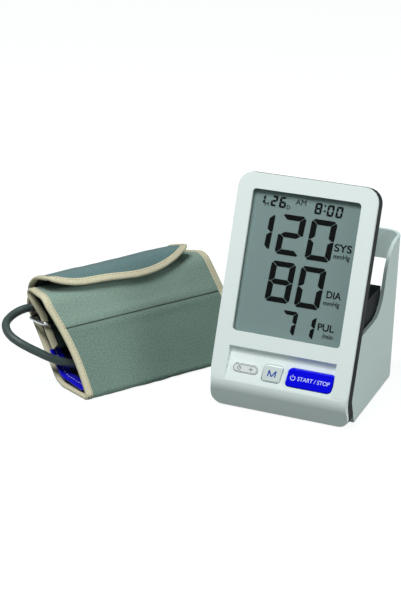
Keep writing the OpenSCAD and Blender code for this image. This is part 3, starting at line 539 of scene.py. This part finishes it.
def digit(bm, char, x0, x1, s0, s1, bar, post, gap, slant):
    """One seven-bar digit. x0 and x1 are its feet's left and right, before the slant."""
    for key in SEGMENTS[char]:
        shape = segment_shapes(x1 - x0, s1 - s0, bar, post, gap)[key]
        outline = [(x0 + x + slant * y, s0 + y) for x, y in shape]
        slab(bm, outline, -INK_N, -INK_N + INK_T, PRINT)


# what stands where on the display: characters, feet's left and right, low, high, bars' widths
BIG = [("1", -28.6, -24.8, 129.5, 158.8, 4.0, 4.3), ("2", -19.9, -0.2, 128.6, 159.3, 4.0, 4.6),
       ("0", 4.3, 24.5, 127.9, 159.0, 4.0, 4.6),
       ("8", -22.3, -2.6, 92.2, 123.4, 4.0, 4.6), ("0", 1.6, 21.7, 91.3, 122.9, 4.0, 4.6)]
MEDIUM = [("7", -7.8, 5.0, 68.4, 87.4, 2.9, 3.3), ("1", 16.6, 20.0, 68.2, 86.6, 2.9, 3.1)]
SMALL = [("1", -35.0, -33.7, 164.2, 171.7, 1.5, 1.6), ("2", -28.9, -23.8, 163.8, 172.0, 1.5, 1.6),
         ("6", -22.1, -16.7, 163.5, 171.9, 1.5, 1.6), ("8", 6.5, 11.9, 162.6, 171.2, 1.5, 1.6),
         ("0", 16.2, 21.5, 162.2, 170.8, 1.5, 1.6), ("0", 23.2, 28.5, 162.0, 170.6, 1.5, 1.6)]
bm = bmesh.new()
# a 1 is drawn as the right side of a digit whose left side lies further left by the last value
for row, gap, slant, spare in ((BIG, 0.3, 0.055, 12), (MEDIUM, 0.26, 0.08, 6),
                               (SMALL, 0.13, 0.08, 3)):
    for char, x0, x1, s0, s1, bar, post in row:
        digit(bm, char, x0 - spare * (char == "1"), x1, s0, s1, bar, post, gap, slant)
for s in (165.0, 168.9):
    slab(bm, round_box(13.9, 15.3, s, s + 1.4, 0.2), -INK_N, -INK_N + INK_T, PRINT)
piece("display_digits", bm, INK, "monitor")

bm = bmesh.new()
for text, x0, x1, s0, s1, weight in (
        ("SYS", 26.5, 40.2, 137.1, 143.0, 0.02), ("mmHg", 26.8, 39.5, 130.6, 135.4, 0.012),
        ("DIA", 26.0, 37.5, 101.6, 107.1, 0.02), ("mmHg", 24.5, 37.1, 95.0, 99.6, 0.012),
        ("PUL", 23.0, 35.9, 76.6, 82.1, 0.02), ("/min", 27.3, 35.8, 71.2, 75.1, 0.008),
        ("AM", -8.9, -0.6, 167.4, 171.8, 0), ("M", -33.3, -30.3, 163.2, 166.3, 0),
        ("D", -15.5, -12.8, 163.0, 166.1, 0.01)):
    word(bm, text, x0, x1, s0, s1, -INK_N, weight=weight)
piece("display_words", bm, THIN_INK, "monitor")

# -------- buttons
ROW_S = 38.2
# each key's middle, width, height and its front's depth under the face
START = (24.1, 36.6, 14.4, 0.0)
MEMORY = (-6.2, 15.2, 13.2, 0.7)
ROCKER = (-28.1, 20.2, 6.6, 0.9)
SLANT = 0.12
CAP_FOOT, FLANGE_LOW, FLANGE_TOP, FLANGE_RIM = -5.95, -6.9, -5.9, 1


def key_outline(key, grow, corner, steps, slant):
    """A key's outline, grown by some mm on every side."""
    x, w, h = key[:3]
    return round_box(x - w / 2 - grow, x + w / 2 + grow, ROW_S - h / 2 - grow,
                     ROW_S + h / 2 + grow, corner, steps, slant, ROW_S)


def crowned_key(node, name, material, body, key, corner, edge):
    """A key cap: the CAD node's flange stays below, and its cap gets a rounded, crowned top."""
    bm = bmesh.new()
    slab(bm, key_outline(key, 0, corner, 6, SLANT), CAP_FOOT, -key[3], PRINT, edge, 4)
    slab(bm, key_outline(key, FLANGE_RIM, corner + FLANGE_RIM, 6, SLANT), FLANGE_LOW, FLANGE_TOP,
         PRINT)
    keep_flat(piece(name, bm, material, body, node))


crowned_key("start_stop_button", "start_key", BLUE_BUTTON, "start_button",
            START, 3.2, 0.9)
crowned_key("memory_button", "memory_key", PALE_BUTTON, "memory_key",
            MEMORY, 2.4, 1.3)
softened("clock_rocker", "clock_plus_key", WHITE_KEY, "clock_key", 0.6)


def power_icon(bm, x, s, r, line, front):
    """A ring open at the top with a bar through the gap."""
    steps, half_gap = 15, 38
    sweep = 360 - 2 * half_gap
    for i in range(steps):
        a0, a1 = (math.radians(90 + half_gap + sweep * k / steps) for k in (i, i + 1))
        outline = [(x + q * math.cos(a), s + q * math.sin(a))
                   for q, a in ((r, a0), (r, a1), (r - line, a1), (r - line, a0))]
        slab(bm, outline, front, front + PRINT_T, PRINT)
    slab(bm, round_box(x - line / 2, x + line / 2, s + 0.2, s + r + 0.4, 0.1, 2), front,
         front + PRINT_T, PRINT)


bm = bmesh.new()
power_icon(bm, 10.8, ROW_S, 2.1, 0.55, START[3])
word(bm, "START / STOP", 14.5, 40.2, 36.6, 39.8, START[3], 0.2, 0.012)
piece("start_print", bm, PRINT_WHITE, "start_button")
bm = bmesh.new()
M_AT, M_W, M_H, M_SLANT = (-9.9, 35.8), 6.6, 4.8, 0.15
# the letter M: its two uprights and its two slanting strokes
for outline in ([(0, 0), (1, 0), (1, M_H), (0, M_H)],
                [(M_W - 1, 0), (M_W, 0), (M_W, M_H), (M_W - 1, M_H)],
                [(0, M_H), (2.75, 0), (3.85, 0), (1.15, M_H)],
                [(M_W - 1.15, M_H), (2.75, 0), (3.85, 0), (M_W, M_H)]):
    slab(bm, [(M_AT[0] + x + M_SLANT * y, M_AT[1] + y) for x, y in outline], -MEMORY[3],
         PRINT_T - MEMORY[3], PRINT)
piece("memory_print", bm, PRINT_BLUE, "memory_key")


def ring_print(bm, outline, width, front):
    """A thin printed line along the inside of a closed outline."""
    for (ax, ay), (bx, by) in zip(outline, outline[1:] + outline[:1]):
        length = math.hypot(bx - ax, by - ay)
        if length < 1e-6:
            continue
        nx, ny = -(by - ay) / length * width, (bx - ax) / length * width
        slab(bm, [(ax, ay), (bx, by), (bx + nx, by + ny), (ax + nx, ay + ny)], front,
             front + PRINT_T, PRINT)


bm = bmesh.new()
RIM_INSET = 0.45
ring_print(bm, key_outline(ROCKER, -RIM_INSET, ROCKER[2] / 2 - RIM_INSET - 0.01, 8, 0.0), 0.32,
           -ROCKER[3])
ring_print(bm, round_box(-34.7, -31.5, 36.6, 39.8, 1.59, 5), 0.35, -ROCKER[3])
# the clock's two hands and the plus sign's two bars
for outline in ([(-33.25, 38.0), (-32.95, 38.0), (-32.95, 39.4), (-33.25, 39.4)],
                [(-33.2, 38.0), (-32.0, 38.6), (-32.1, 38.9), (-33.2, 38.3)],
                round_box(-25.2, -21.8, 38.0, 38.45, 0.1, 2),
                round_box(-23.72, -23.28, 36.6, 39.9, 0.1, 2)):
    slab(bm, outline, -ROCKER[3], PRINT_T - ROCKER[3], PRINT)
piece("clock_plus_print", bm, PRINT_GREY, "clock_key")

# -------- cuff: the folded strip
CUFF_W = 152.0
COVER_T = 2.2
TAPE_W = 5.5
TAPE_H = COVER_T / 2 + 0.3
# corners of the folded strip, from the flap's tip inwards: left edge's place along the roll,
# back and up, the same for the right edge, and the corner's rounding
STRIP = [
    (-8, 39.5, 73, CUFF_W - 26, 39.5, 74, 0),
    (-8, 52, 85, CUFF_W - 26, 52, 87, 8),
    (-6, 80, 77, CUFF_W - 26, 80, 78, 11),
    (-3, 97, 47, CUFF_W - 14, 93, 38, 10),
    (-9, 34, 2.5, CUFF_W - 8, 86, 1.5, 6),
    (-5, -3, 1.5, CUFF_W - 2, -6, 1.5, 4),
    (-15, 46, 73, CUFF_W - 8, 50, 77.5, 9),
    (-11, 81, 68, CUFF_W - 12, 83, 70, 8),
    (-6, 65, 45, CUFF_W - 16, 65, 47, 3),
    (-5, 50, 25, CUFF_W - 16, 50, 25, 0)]
LEG_STEPS = (14, 10, 12, 14, 16, 26, 12, 10, 10)
BEND_STEPS = 8
REAR_LEG, BOTTOM_LEG, FRONT_LEG = 3, 4, 5  # a leg runs from the corner of its number to the next
CORNER_R = 4.0  # of the flap's tip at the strip's two long edges
SEAM_LEFT, SEAM_RIGHT = 0.675, 0.638  # how far up the front panel the sewn line crosses


def mix(a, b, t):
    return a + (b - a) * t


def clamp(t):
    return min(max(t, 0.0), 1.0)


def running(points):
    """The running length at each point of a line."""
    run = [0.0]
    for a, b in zip(points, points[1:]):
        run.append(run[-1] + (b - a).length)
    return run


def step_at(run, length):
    """The step of a line in which a running length falls, and the share of that step."""
    k = min(max(bisect_right(run, length) - 1, 0), len(run) - 2)
    return k, (length - run[k]) / max(run[k + 1] - run[k], 1e-9)


def hang(t):
    """How far the flap's tip hangs down between its two ends, a little less left of the middle."""
    lean = 1 - 0.22 * math.exp(-((t - 0.36) / 0.2) ** 2)
    return max(0.06, lean * (1 - abs(2 * t - 1) ** 2.4) ** 0.9)


def flat_dir(a, b):
    """The way from a to b, square to the roll."""
    return Vector((0, b.y - a.y, b.z - a.z)).normalized()


def strip_corners(t):
    """The folded strip's corners at a station across it, 0 at its left edge and 1 at its right."""
    q = [Vector(r[:3]).lerp(Vector(r[3:6]), t) for r in STRIP]
    q[0] = q[1].lerp(q[0], hang(t))
    return q


def side_curve(t, place, leg):
    """The front panel's two edges swing in and out as they rise."""
    if leg not in (BOTTOM_LEG, FRONT_LEG):
        return 0.0
    z = max(place.z - 1.5, 0)
    left = 3.8 * math.sin(math.pi * min(z / 66, 1))
    right = 2.0 * math.sin(math.pi * min(z / 77, 1))
    return left * (1 - t) ** 3 + right * t ** 3


LINES = {}


def strip_line(t):
    """Points, running lengths and inward directions of the strip at a station across it, and
    the running length at which each leg between two corners starts."""
    key = round(t, 5)
    if key in LINES:
        return LINES[key]
    q = strip_corners(t)
    points, legs, start = [], [0], q[0]
    for i in range(1, len(q) - 1):
        cut = min(STRIP[i][6], *(0.45 * (q[i] - q[k]).yz.length for k in (i - 1, i + 1)))
        a = q[i] + flat_dir(q[i], q[i - 1]) * cut
        b = q[i] + flat_dir(q[i], q[i + 1]) * cut
        steps = LEG_STEPS[i - 1]
        points += [(start.lerp(a, k / steps), i - 1) for k in range(steps)]
        legs.append(len(points) + BEND_STEPS // 2)
        for k in range(BEND_STEPS):
            s = k / BEND_STEPS
            points.append(((1 - s) ** 2 * a + 2 * s * (1 - s) * q[i] + s * s * b,
                           i - 1 if s < 0.5 else i))
        start = b
    steps = LEG_STEPS[-1]
    points += [(start.lerp(q[-1], k / steps), len(q) - 2) for k in range(steps + 1)]
    line = [p + Vector((side_curve(t, p, leg), 0, 0)) for p, leg in points]
    run = running(line)
    inward = []
    for k in range(len(line)):
        d = flat_dir(line[max(k - 1, 0)], line[min(k + 1, len(line) - 1)])
        inward.append(Vector((0, d.z, -d.y)))
    LINES[key] = (line, run, inward, [run[k] for k in legs])
    return LINES[key]


def walk(t, length, off=0.0):
    """The point at a running length along the strip, moved square to it, inwards when positive."""
    line, run, inward = strip_line(clamp(t))[:3]
    k, f = step_at(run, length)
    place = line[k].lerp(line[k + 1], f)
    way = inward[k].lerp(inward[k + 1], clamp(f)).normalized()
    extra = t * CUFF_W if t < 0 else (t - 1) * CUFF_W if t > 1 else 0.0
    return place + way * off + Vector((extra, 0, 0))


def seam_length(t):
    """Running length at which the sewn line crosses the front panel."""
    legs = strip_line(t)[3]
    return mix(legs[FRONT_LEG], legs[FRONT_LEG + 1], mix(SEAM_LEFT, SEAM_RIGHT, t))


def swell(t, length):
    """Soft unevenness of the padded cloth, in mm, outwards when negative."""
    d = length - seam_length(clamp(t))
    front = math.exp(-((d + 22) / 26) ** 2)
    rim = math.sin(math.pi * clamp(t)) ** 0.6
    soft = noise.noise(Vector((t * 4.2, length * 0.021, 3.1)))
    fine = noise.noise(Vector((t * 13.0, length * 0.07, 7.7)))
    groove = 0.55 * math.exp(-(d / 0.9) ** 2)
    puff = -0.5 * math.exp(-((abs(d) - 4.5) / 3.0) ** 2)
    return rim * (soft * 1.1 + fine * 0.35 - 0.9 * front) + groove + puff * rim


def corner_cut(m):
    """How far the tip is rounded back near the strip's two long edges."""
    d = min(m, CUFF_W - m)
    if d >= CORNER_R:
        return 0.0
    return CORNER_R - math.sqrt(CORNER_R ** 2 - (CORNER_R - max(d, 0)) ** 2)


def cloth_uv(t, length):
    """UVs in mm: across the strip, and along it from the sewn line."""
    return t * CUFF_W, length - seam_length(clamp(t))


def thicken(made, thick):
    """Gives a single layer its thickness, half of it on each side."""
    solid = made.modifiers.new("thickness", "SOLIDIFY")
    solid.thickness, solid.offset = thick * MM, 0.0
    return solid


COVER_CLOTH = woven("cover_cloth", rgb(130, 156, 144), rgb(78, 101, 91), 0.8, 0.85, 0.5, 0.8, 0.2,
                    zones=[(0.0, 48.0, rgb(148, 172, 160), rgb(102, 126, 115)),
                           (-500.0, -150.0, rgb(108, 138, 138), rgb(74, 102, 103)),
                           (-0.75, 0.55, rgb(34, 46, 41), rgb(26, 36, 32))])
TAPE_CLOTH = woven("tape_cloth", rgb(220, 215, 188), rgb(184, 178, 148), 0.8, 0.9, 0.5, 0.85, 0.15)
# The lining is blue in its sewn band at the left end. Past 12 mm it is painted dark navy as shade
# inside the roll.
BLUE_CLOTH = woven("blue_cloth", rgb(14, 8, 215), rgb(8, 2, 160), 0.6, 0.3, 0.12, 0.3, 0.1,
                   inside_shade=(12.0, rgb(14, 14, 40)))
# The cover's inner face: a darker copy of the cover cloth, painted shade for the inside of the
# roll.
COVER_INSIDE_SHADE = woven("cover_inside_painted_shade", rgb(44, 56, 52), rgb(30, 40, 36), 0.8, 0.85, 0.3, 0.9, 0.05)
HOOK_CLOTH = woven("hook_cloth", rgb(70, 78, 76), rgb(36, 42, 40), 1.4, 1.6, 0.8, 0.9, 0.2)


EDGE_INSET, TIP_INSET = 0.8, 0.6  # how far under its tape the cloth ends


def make_cover():
    """The cover cloth, one long strip from the flap's tip to its end inside the roll."""
    bm = bmesh.new()
    edge = EDGE_INSET / CUFF_W

    def station(i, j):
        t = mix(edge, 1 - edge, i)
        return t, mix(corner_cut(t * CUFF_W) + TIP_INSET, strip_line(t)[1][-1], j)

    def place(i, j):
        t, length = station(i, j)
        return on_cuff(*walk(t, length, swell(t, length)))

    grid_piece(bm, 56, 250, place, lambda i, j: cloth_uv(*station(i, j)))
    made = piece("cuff_cloth", bm, COVER_CLOTH, "cuff", "cuff_cover", smooth=60,
                 extra=(COVER_INSIDE_SHADE,))
    # The inner face and the rims take the darker cloth, which is painted shade.
    thicken(made, COVER_T - 0.3).material_offset = 1
    return made


cuff_cloth = make_cover()

# the binding's section: distance in from the strip's edge, and height off its middle plane
TAPE_SIDE = [(TAPE_W, 0.9), (TAPE_W - 0.1, TAPE_H - 0.1), (TAPE_W - 0.6, TAPE_H + 0.06),
             (2.8, TAPE_H + 0.1), (0.9, TAPE_H + 0.02), (0.1, TAPE_H * 0.8), (-0.3, TAPE_H * 0.4)]
TAPE_RING = TAPE_SIDE + [(-0.4, 0)] + [(d, -off) for d, off in reversed(TAPE_SIDE)]
TAPE_ROUND = 22.0  # its running length, for the UVs
LONG_STEPS, TURN_STEPS, TIP_STEPS = 190, 8, 56


def tape_path():
    """The binding's way round the strip's open edges, as (across, along, inward direction)."""
    left = [(0.0, length, (1, 0)) for length in (
        mix(strip_line(0.0)[1][-1], CORNER_R, k / LONG_STEPS) for k in range(LONG_STEPS))]
    turn = [(CORNER_R * (1 - math.cos(a)), CORNER_R * (1 - math.sin(a)), (math.cos(a), math.sin(a)))
            for a in (math.radians(90 * k / TURN_STEPS) for k in range(TURN_STEPS + 1))]
    tip = [(mix(CORNER_R, CUFF_W - CORNER_R, k / TIP_STEPS), 0.0, (0, 1))
           for k in range(1, TIP_STEPS)]
    back = [(CUFF_W - m, l, (-dx, dy)) for m, l, (dx, dy) in reversed(turn)]
    right = [(CUFF_W, length, (-1, 0)) for length in (
        mix(CORNER_R, strip_line(1.0)[1][-1], k / LONG_STEPS) for k in range(1, LONG_STEPS + 1))]
    return left + turn + tip + back + right


TAPE_PATH = tape_path()


def tape_point(k, d, off):
    """A point beside the edge's k-th place: d inwards, off square to the cloth."""
    m, length, (dx, dy) = TAPE_PATH[k]
    m, length = m + d * dx, length + d * dy
    t = m / CUFF_W
    return walk(t, length, off + 0.6 * swell(t, length))


def make_tape():
    """The binding tape, wrapped round both long edges and the flap's tip in one run."""
    bm = bmesh.new()
    rounds, steps = len(TAPE_RING), len(TAPE_PATH) - 1

    def place(i, j):
        d, off = TAPE_RING[round(i * rounds) % rounds]
        return on_cuff(*tape_point(round(j * steps), d, off))

    run = running([tape_point(k, 2, 0) for k in range(steps + 1)])
    grid_piece(bm, rounds, steps, place, lambda i, j: (i * TAPE_ROUND, run[round(j * steps)]))
    bmesh.ops.remove_doubles(bm, verts=bm.verts, dist=1e-7)
    bmesh.ops.holes_fill(bm, edges=[e for e in bm.edges if e.is_boundary], sides=0)
    bmesh.ops.recalc_face_normals(bm, faces=bm.faces)
    return piece("cuff_tape", bm, TAPE_CLOTH, "cuff", "cuff_binding", smooth=60)


cuff_tape = make_tape()


STITCH_IN = 4.1  # from the strip's edge to the stitches that hold the tape
FIRST_STITCH = 0.3


def sew(name, thread, lines, pitch, reach, length, thick):
    """A piece of short rounded stitches, one at every pitch along each line of points in mm.
    Each is centred on and turned along the stretch of its line that is reach long."""
    bm = bmesh.new()
    size = Matrix.Diagonal((thick / 2, thick / 2, length / 2, 1))
    for points in lines:
        run = running(points)
        for n in range(int(run[-1] / pitch)):
            ends = []
            for s in (n * pitch + FIRST_STITCH, n * pitch + FIRST_STITCH + reach):
                k, f = step_at(run, s)
                ends.append(points[k].lerp(points[k + 1], f))
            way = (ends[1] - ends[0]).normalized()
            middle = Matrix.Translation((ends[0] + ends[1]) / 2)
            turn = way.to_track_quat("Z", "Y").to_matrix().to_4x4()
            bmesh.ops.create_icosphere(bm, subdivisions=1, radius=1.0,
                                       matrix=CUFF @ middle @ turn @ size)
    return piece(name, bm, thread, "cuff", smooth=80)


def seam_point(t):
    """A point just outside the cover on its sewn line."""
    length = seam_length(t)
    return walk(t, length, swell(t, length) - COVER_T / 2 + 0.1)


tape_stitches = sew("cuff_tape_stitches", THREAD_TAN,
                    [[tape_point(k, STITCH_IN, off) for k in range(len(TAPE_PATH))]
                     for off in (-TAPE_H - 0.1, TAPE_H + 0.1)], 2.7, 1.5, 1.6, 0.5)
seam_stitches = sew("cuff_seam_stitches", THREAD_DARK,
                    [[seam_point(mix(TAPE_W / CUFF_W, 1 - TAPE_W / CUFF_W, k / 120))
                      for k in range(121)]], 2.8, 1.9, 2.1, 0.7)

# the layers inside the fold: their thicknesses, places off the strip and stretches along it
LINING_T, BLADDER_T, HOOK_T = 0.9, 1.9, 0.7
BLADDER_OFF, SKIN_OFF = COVER_T / 2 + 1.3, COVER_T / 2 + 0.5
LINING_OFF = COVER_T / 2 + LINING_T + 2.5
LINING_SPAN = (REAR_LEG, 0.62, BOTTOM_LEG, 0.78)


def layer_span(t, first, f0, last, f1):
    """Running lengths from a share of one leg to a share of another."""
    legs = strip_line(t)[3] + [strip_line(t)[1][-1]]
    return mix(legs[first], legs[first + 1], f0), mix(legs[last], legs[last + 1], f1)


def inner_sheet(name, node, material, t0, t1, span, off, thick, across=36, along=70,
                lift=None):
    """A layer that lies inside the fold, along part of the strip."""
    bm = bmesh.new()

    def station(i, j):
        t = mix(t0, t1, i)
        return t, mix(*layer_span(t, *span), j)

    def place(i, j):
        t, length = station(i, j)
        return on_cuff(*walk(t, length, off + (lift(t, j) if lift else 0)))

    def uv(i, j):
        t, length = station(i, j)
        return t * CUFF_W, length

    grid_piece(bm, across, along, place, uv)
    made = piece(name, bm, material, "cuff", node, smooth=60)
    thicken(made, thick)
    rounded = made.modifiers.new("rounding", "BEVEL")
    rounded.width, rounded.segments, rounded.limit_method = thick * 0.4 * MM, 2, "ANGLE"
    rounded.angle_limit = math.radians(50)
    return made


def ripple(t, j):
    """The lining's soft waves, and how its open left end cuts the roll's bottom corner."""
    cut = 1.6 * math.sin(math.pi * j) ** 1.5 * max(0, 1 - t / 0.12)
    return cut + 0.5 * noise.noise(Vector((t * 9, j * 6, 1.3))) * (1 - t) ** 2


lining = inner_sheet("cuff_lining_cloth", "cuff_lining", BLUE_CLOTH, 0.012, 0.995,
                     LINING_SPAN, LINING_OFF, LINING_T, lift=ripple)
bladder = inner_sheet("cuff_bladder_bag", "cuff_bladder", BLADDER_SHEET, 0.06,
                      0.94, (REAR_LEG, 0.35, BOTTOM_LEG, 0.7), BLADDER_OFF, BLADDER_T)
inner_sheet("cuff_hook_tape", "cuff_hook_patch", HOOK_CLOTH, 0.1, 0.9,
            (1, 0.25, 1, 0.55), SKIN_OFF, HOOK_T, 30, 16)

LINING_ENDS = (7.0, CUFF_W - 3.6)  # its two sewn lines, in mm along the roll
lining_stitches = sew("cuff_lining_stitches", THREAD_WHITE,
                      [[walk(m / CUFF_W, mix(*layer_span(m / CUFF_W, *LINING_SPAN), k / 60),
                             LINING_OFF + ripple(m / CUFF_W, k / 60) + 0.5) for k in range(61)]
                       for m in LINING_ENDS], 3.2, 2.0, 2.2, 0.5)

# -------- cuff: metal loop and its tab
RING_U0, RING_U1 = -7.5, CUFF_W - 14
RING_FRONT, RING_BACK = Vector((58, 44.5)), Vector((83, 41.5))  # back and up of its long bars
RING_R = 1.5


def ring_places():
    """The loop's rectangle, flat from its front bar to its back bar."""
    wide = (RING_BACK - RING_FRONT).length
    way = (RING_BACK - RING_FRONT).normalized()
    outline = round_box(RING_U0, RING_U1, 0, wide, 4, 4)
    return [on_cuff(u, *(RING_FRONT + way * v)) for u, v in outline]


ring = bezier_tube("cuff_loop_wire", ring_places(), RING_R, closed=True, sides=8)
ring.data.use_fill_caps = False
ring.data.materials.append(PLATED)
settle(ring, "cuff", "cuff_ring")


def make_tab():
    """The sewn tab: out of the roll's back, round the loop's rear bar, and back in."""
    bm = bmesh.new()
    r = RING_R + 0.75

    def profile(t):
        first, last = (walk(t, length, SKIN_OFF) for length in layer_span(t, 2, 0.35, 2, 0.55))
        turn = [math.radians(320 * k / 8 - 70) for k in range(9)]
        return [first] + [Vector((first.x, RING_BACK.x - r * math.sin(a) * 0.98,
                                  RING_BACK.y - r * math.cos(a))) for a in turn] + [last]

    def place(i, j):
        points = profile(mix(0.1, 0.84, i))
        n = j * (len(points) - 1)
        k = min(int(n), len(points) - 2)
        return on_cuff(*points[k].lerp(points[k + 1], n - k))

    grid_piece(bm, 20, 10, place, lambda i, j: (i * 110, j * 30))
    thicken(piece("cuff_loop_tab", bm, TAPE_CLOTH, "cuff", "cuff_ring_loop", 70),
            0.9)


make_tab()

# -------- cuff: nipple, hose and plug
def at_hose_end(k, degrees):
    """The frame of a turned piece on the hose's k-th place, its axis along the roll."""
    return CUFF @ Matrix.Translation(HOSE_ROUTE[k]) @ Matrix.Rotation(math.radians(degrees), 4, "Y")


bm = bmesh.new()
lathe(bm, [(0, -2.4), (2.6, -2.4), (3.6, -1.8), (4.1, -0.6), (4.1, 1.2), (3.7, 1.8), (3.4, 2.4),
           (3.4, 9.4), (2.9, 10), (0, 10)], at_hose_end(0, 90))
nipple = piece("hose_collar", bm, DARK_PLASTIC, "cuff", "hose_nipple")
bm = bmesh.new()
lathe(bm, [(0, 0), (3.6, 0), (4.4, 0.5), (4.6, 2.0), (4.9, 3.4), (4.4, 4.2), (4.9, 5.0), (4.4, 5.8),
           (4.9, 6.6), (4.4, 7.4), (4.9, 8.2), (5.0, 12.8), (4.4, 14), (2.1, 14), (2.1, 17.2),
           (1.8, 17.6), (1.8, 18.6), (2.1, 19.0), (2.1, 24.8), (1.6, 26), (0, 26)],
      at_hose_end(-1, -90))
plug = piece("hose_plug", bm, DARK_PLASTIC, "cuff", "air_plug")
hose.data.materials.append(HOSE_SKIN)
settle(hose, "cuff", "air_hose")

# -------- the folded strip's length and the lining's span
STRIP_LENGTH = strip_line(0.5)[1][-1] * MM
low, high = layer_span(0.5, *LINING_SPAN)

# -------- cells and their springs
CELL_X, CELL_PITCH, CELL_Y, CELL_Z = -40.25, 15.1, 80.2, 44.2


def coil(seat):
    """The spring's tapering turns at a cell's flat end."""
    places = []
    for k in range(61):
        r, a = mix(3.5, 2.6, k / 60), k * 0.6
        places.append(seat @ Vector((r * math.cos(a), r * math.sin(a), mix(-27.4, -22.6, k / 60))))
    return places


cell_dark, cell_gold, cell_caps = bmesh.new(), bmesh.new(), bmesh.new()
coils = []
for i in range(4):
    place = (CELL_X + CELL_PITCH * i, TABLE_LINE + CELL_Y, CELL_Z)
    seat = Matrix.Scale(MM, 4) @ Matrix.Translation(place)
    if i % 2:
        seat = seat @ Matrix.Rotation(math.pi, 4, "X")
    lathe(cell_caps, [(0, -22.1), (4.6, -22.1), (5.2, -22.2), (6.2, -22.2), (6.5, -21.6)], seat)
    lathe(cell_dark, [(6.4, -22), (6.9, -22.1), (7.1, -21.7), (7.1, 10)], seat)
    lathe(cell_gold, [(7.1, 10), (7.1, 26.4), (6.9, 26.8), (6.2, 26.8)], seat)
    lathe(cell_caps, [(6.3, 26.6), (2.9, 26.6), (2.6, 26.8), (2.6, 27.5), (2.3, 27.8), (0, 27.8)],
          seat)
    coils.append(coil(seat))
piece("cell_wraps", cell_dark, CELL_DARK, "monitor", "batteries")
piece("cell_tops", cell_gold, CELL_WRAP, "monitor", "batteries")
piece("cell_ends", cell_caps, PLATED, "monitor", "batteries")
for i, places in enumerate(coils):
    spring = bezier_tube("cell_spring_%d" % (i + 1), places, 0.35, sides=2)
    spring.data.resolution_u = 3
    spring.data.materials.append(PLATED)
    settle(spring, "monitor", "battery_springs")

# -------- finishes of the kept CAD nodes
for material, labels in (
        (PANEL_GLASS, "display_panel"), (ZEBRA_PINK, "display_connector"),
        (PALE_PLASTIC, "display_frame pump_head air_manifold bleed_valve"),
        (BOARD_GREEN, "main_board"), (RUBBER, "pump_mount"), (SOFT_TUBE, "air_line"),
        (CHIP_BLACK, "board_chips key_switches pressure_sensor buzzer"),
        (BRUSHED, "pump_motor release_valve"),
        (PLATED, "battery_contacts housing_screws board_screws stand_screws")):
    for label in labels.split():
        for holder in nodes[label].material_slots:
            holder.material = material


# -------- floor, lights and world
FLOOR_GREY, FLOOR_GLOW = rgb(110, 121, 119), 0.9
AMBIENT = 0.2
SKY_TINT, WHITE = (0.88, 1.0, 0.98, 1), (1, 1, 1, 1)
LIT_SPOT = (-0.03, 0, 0.08)


def make_floor():
    """A plain floor that looks white to the camera, and lights the object only by its own grey."""
    material, tree, shader, _ = start_material("pale_floor")
    path = tree.nodes.new("ShaderNodeLightPath")
    seen = maths(tree, "MAXIMUM", path.outputs["Is Camera Ray"],
                 maths(tree, "MAXIMUM", path.outputs["Is Glossy Ray"],
                       path.outputs["Is Transmission Ray"]))
    feed(tree, shader, {"Base Color": FLOOR_GREY, "Roughness": 0.8, "Specular IOR Level": 0.1,
                        "Emission Color": WHITE,
                        "Emission Strength": maths(tree, "MULTIPLY", seen, FLOOR_GLOW)})
    bm = bmesh.new()
    bmesh.ops.create_grid(bm, x_segments=4, y_segments=4, size=6.0,
                          matrix=Matrix.Translation((0, 2, -0.00005)))
    floor = add_object("studio_floor", bm, material)


def make_light(name, at, aim, size, power):
    """A round soft lamp at a place, turned to what it lights."""
    data = bpy.data.lights.new(name, "AREA")
    data.shape, data.size, data.energy = "DISK", size, power
    lamp = bpy.data.objects.new(name, data)
    scene.collection.objects.link(lamp)
    turn = (Vector(aim) - Vector(at)).to_track_quat("-Z", "Y").to_matrix().to_4x4()
    lamp.matrix_world = Matrix.Translation(at) @ turn


def make_world():
    """White to the camera, and a faint cool light from all round."""
    world = bpy.data.worlds.new("studio")
    world.use_nodes = True
    tree = world.node_tree
    sky = tree.nodes["Background"]
    path = tree.nodes.new("ShaderNodeLightPath")
    seen = path.outputs["Is Camera Ray"]
    feed(tree, sky, {"Color": blend_colour(tree, seen, SKY_TINT, WHITE),
                     "Strength": maths(tree, "MULTIPLY_ADD", seen, 1 - AMBIENT, AMBIENT)})
    scene.world = world


make_floor()
make_light("key", (-0.35, -0.64, 1.65), LIT_SPOT, 0.8, 29)
make_light("fill", (1.7, -0.25, 0.8), LIT_SPOT, 0.9, 14)
make_world()

scene.view_settings.view_transform = "Standard"
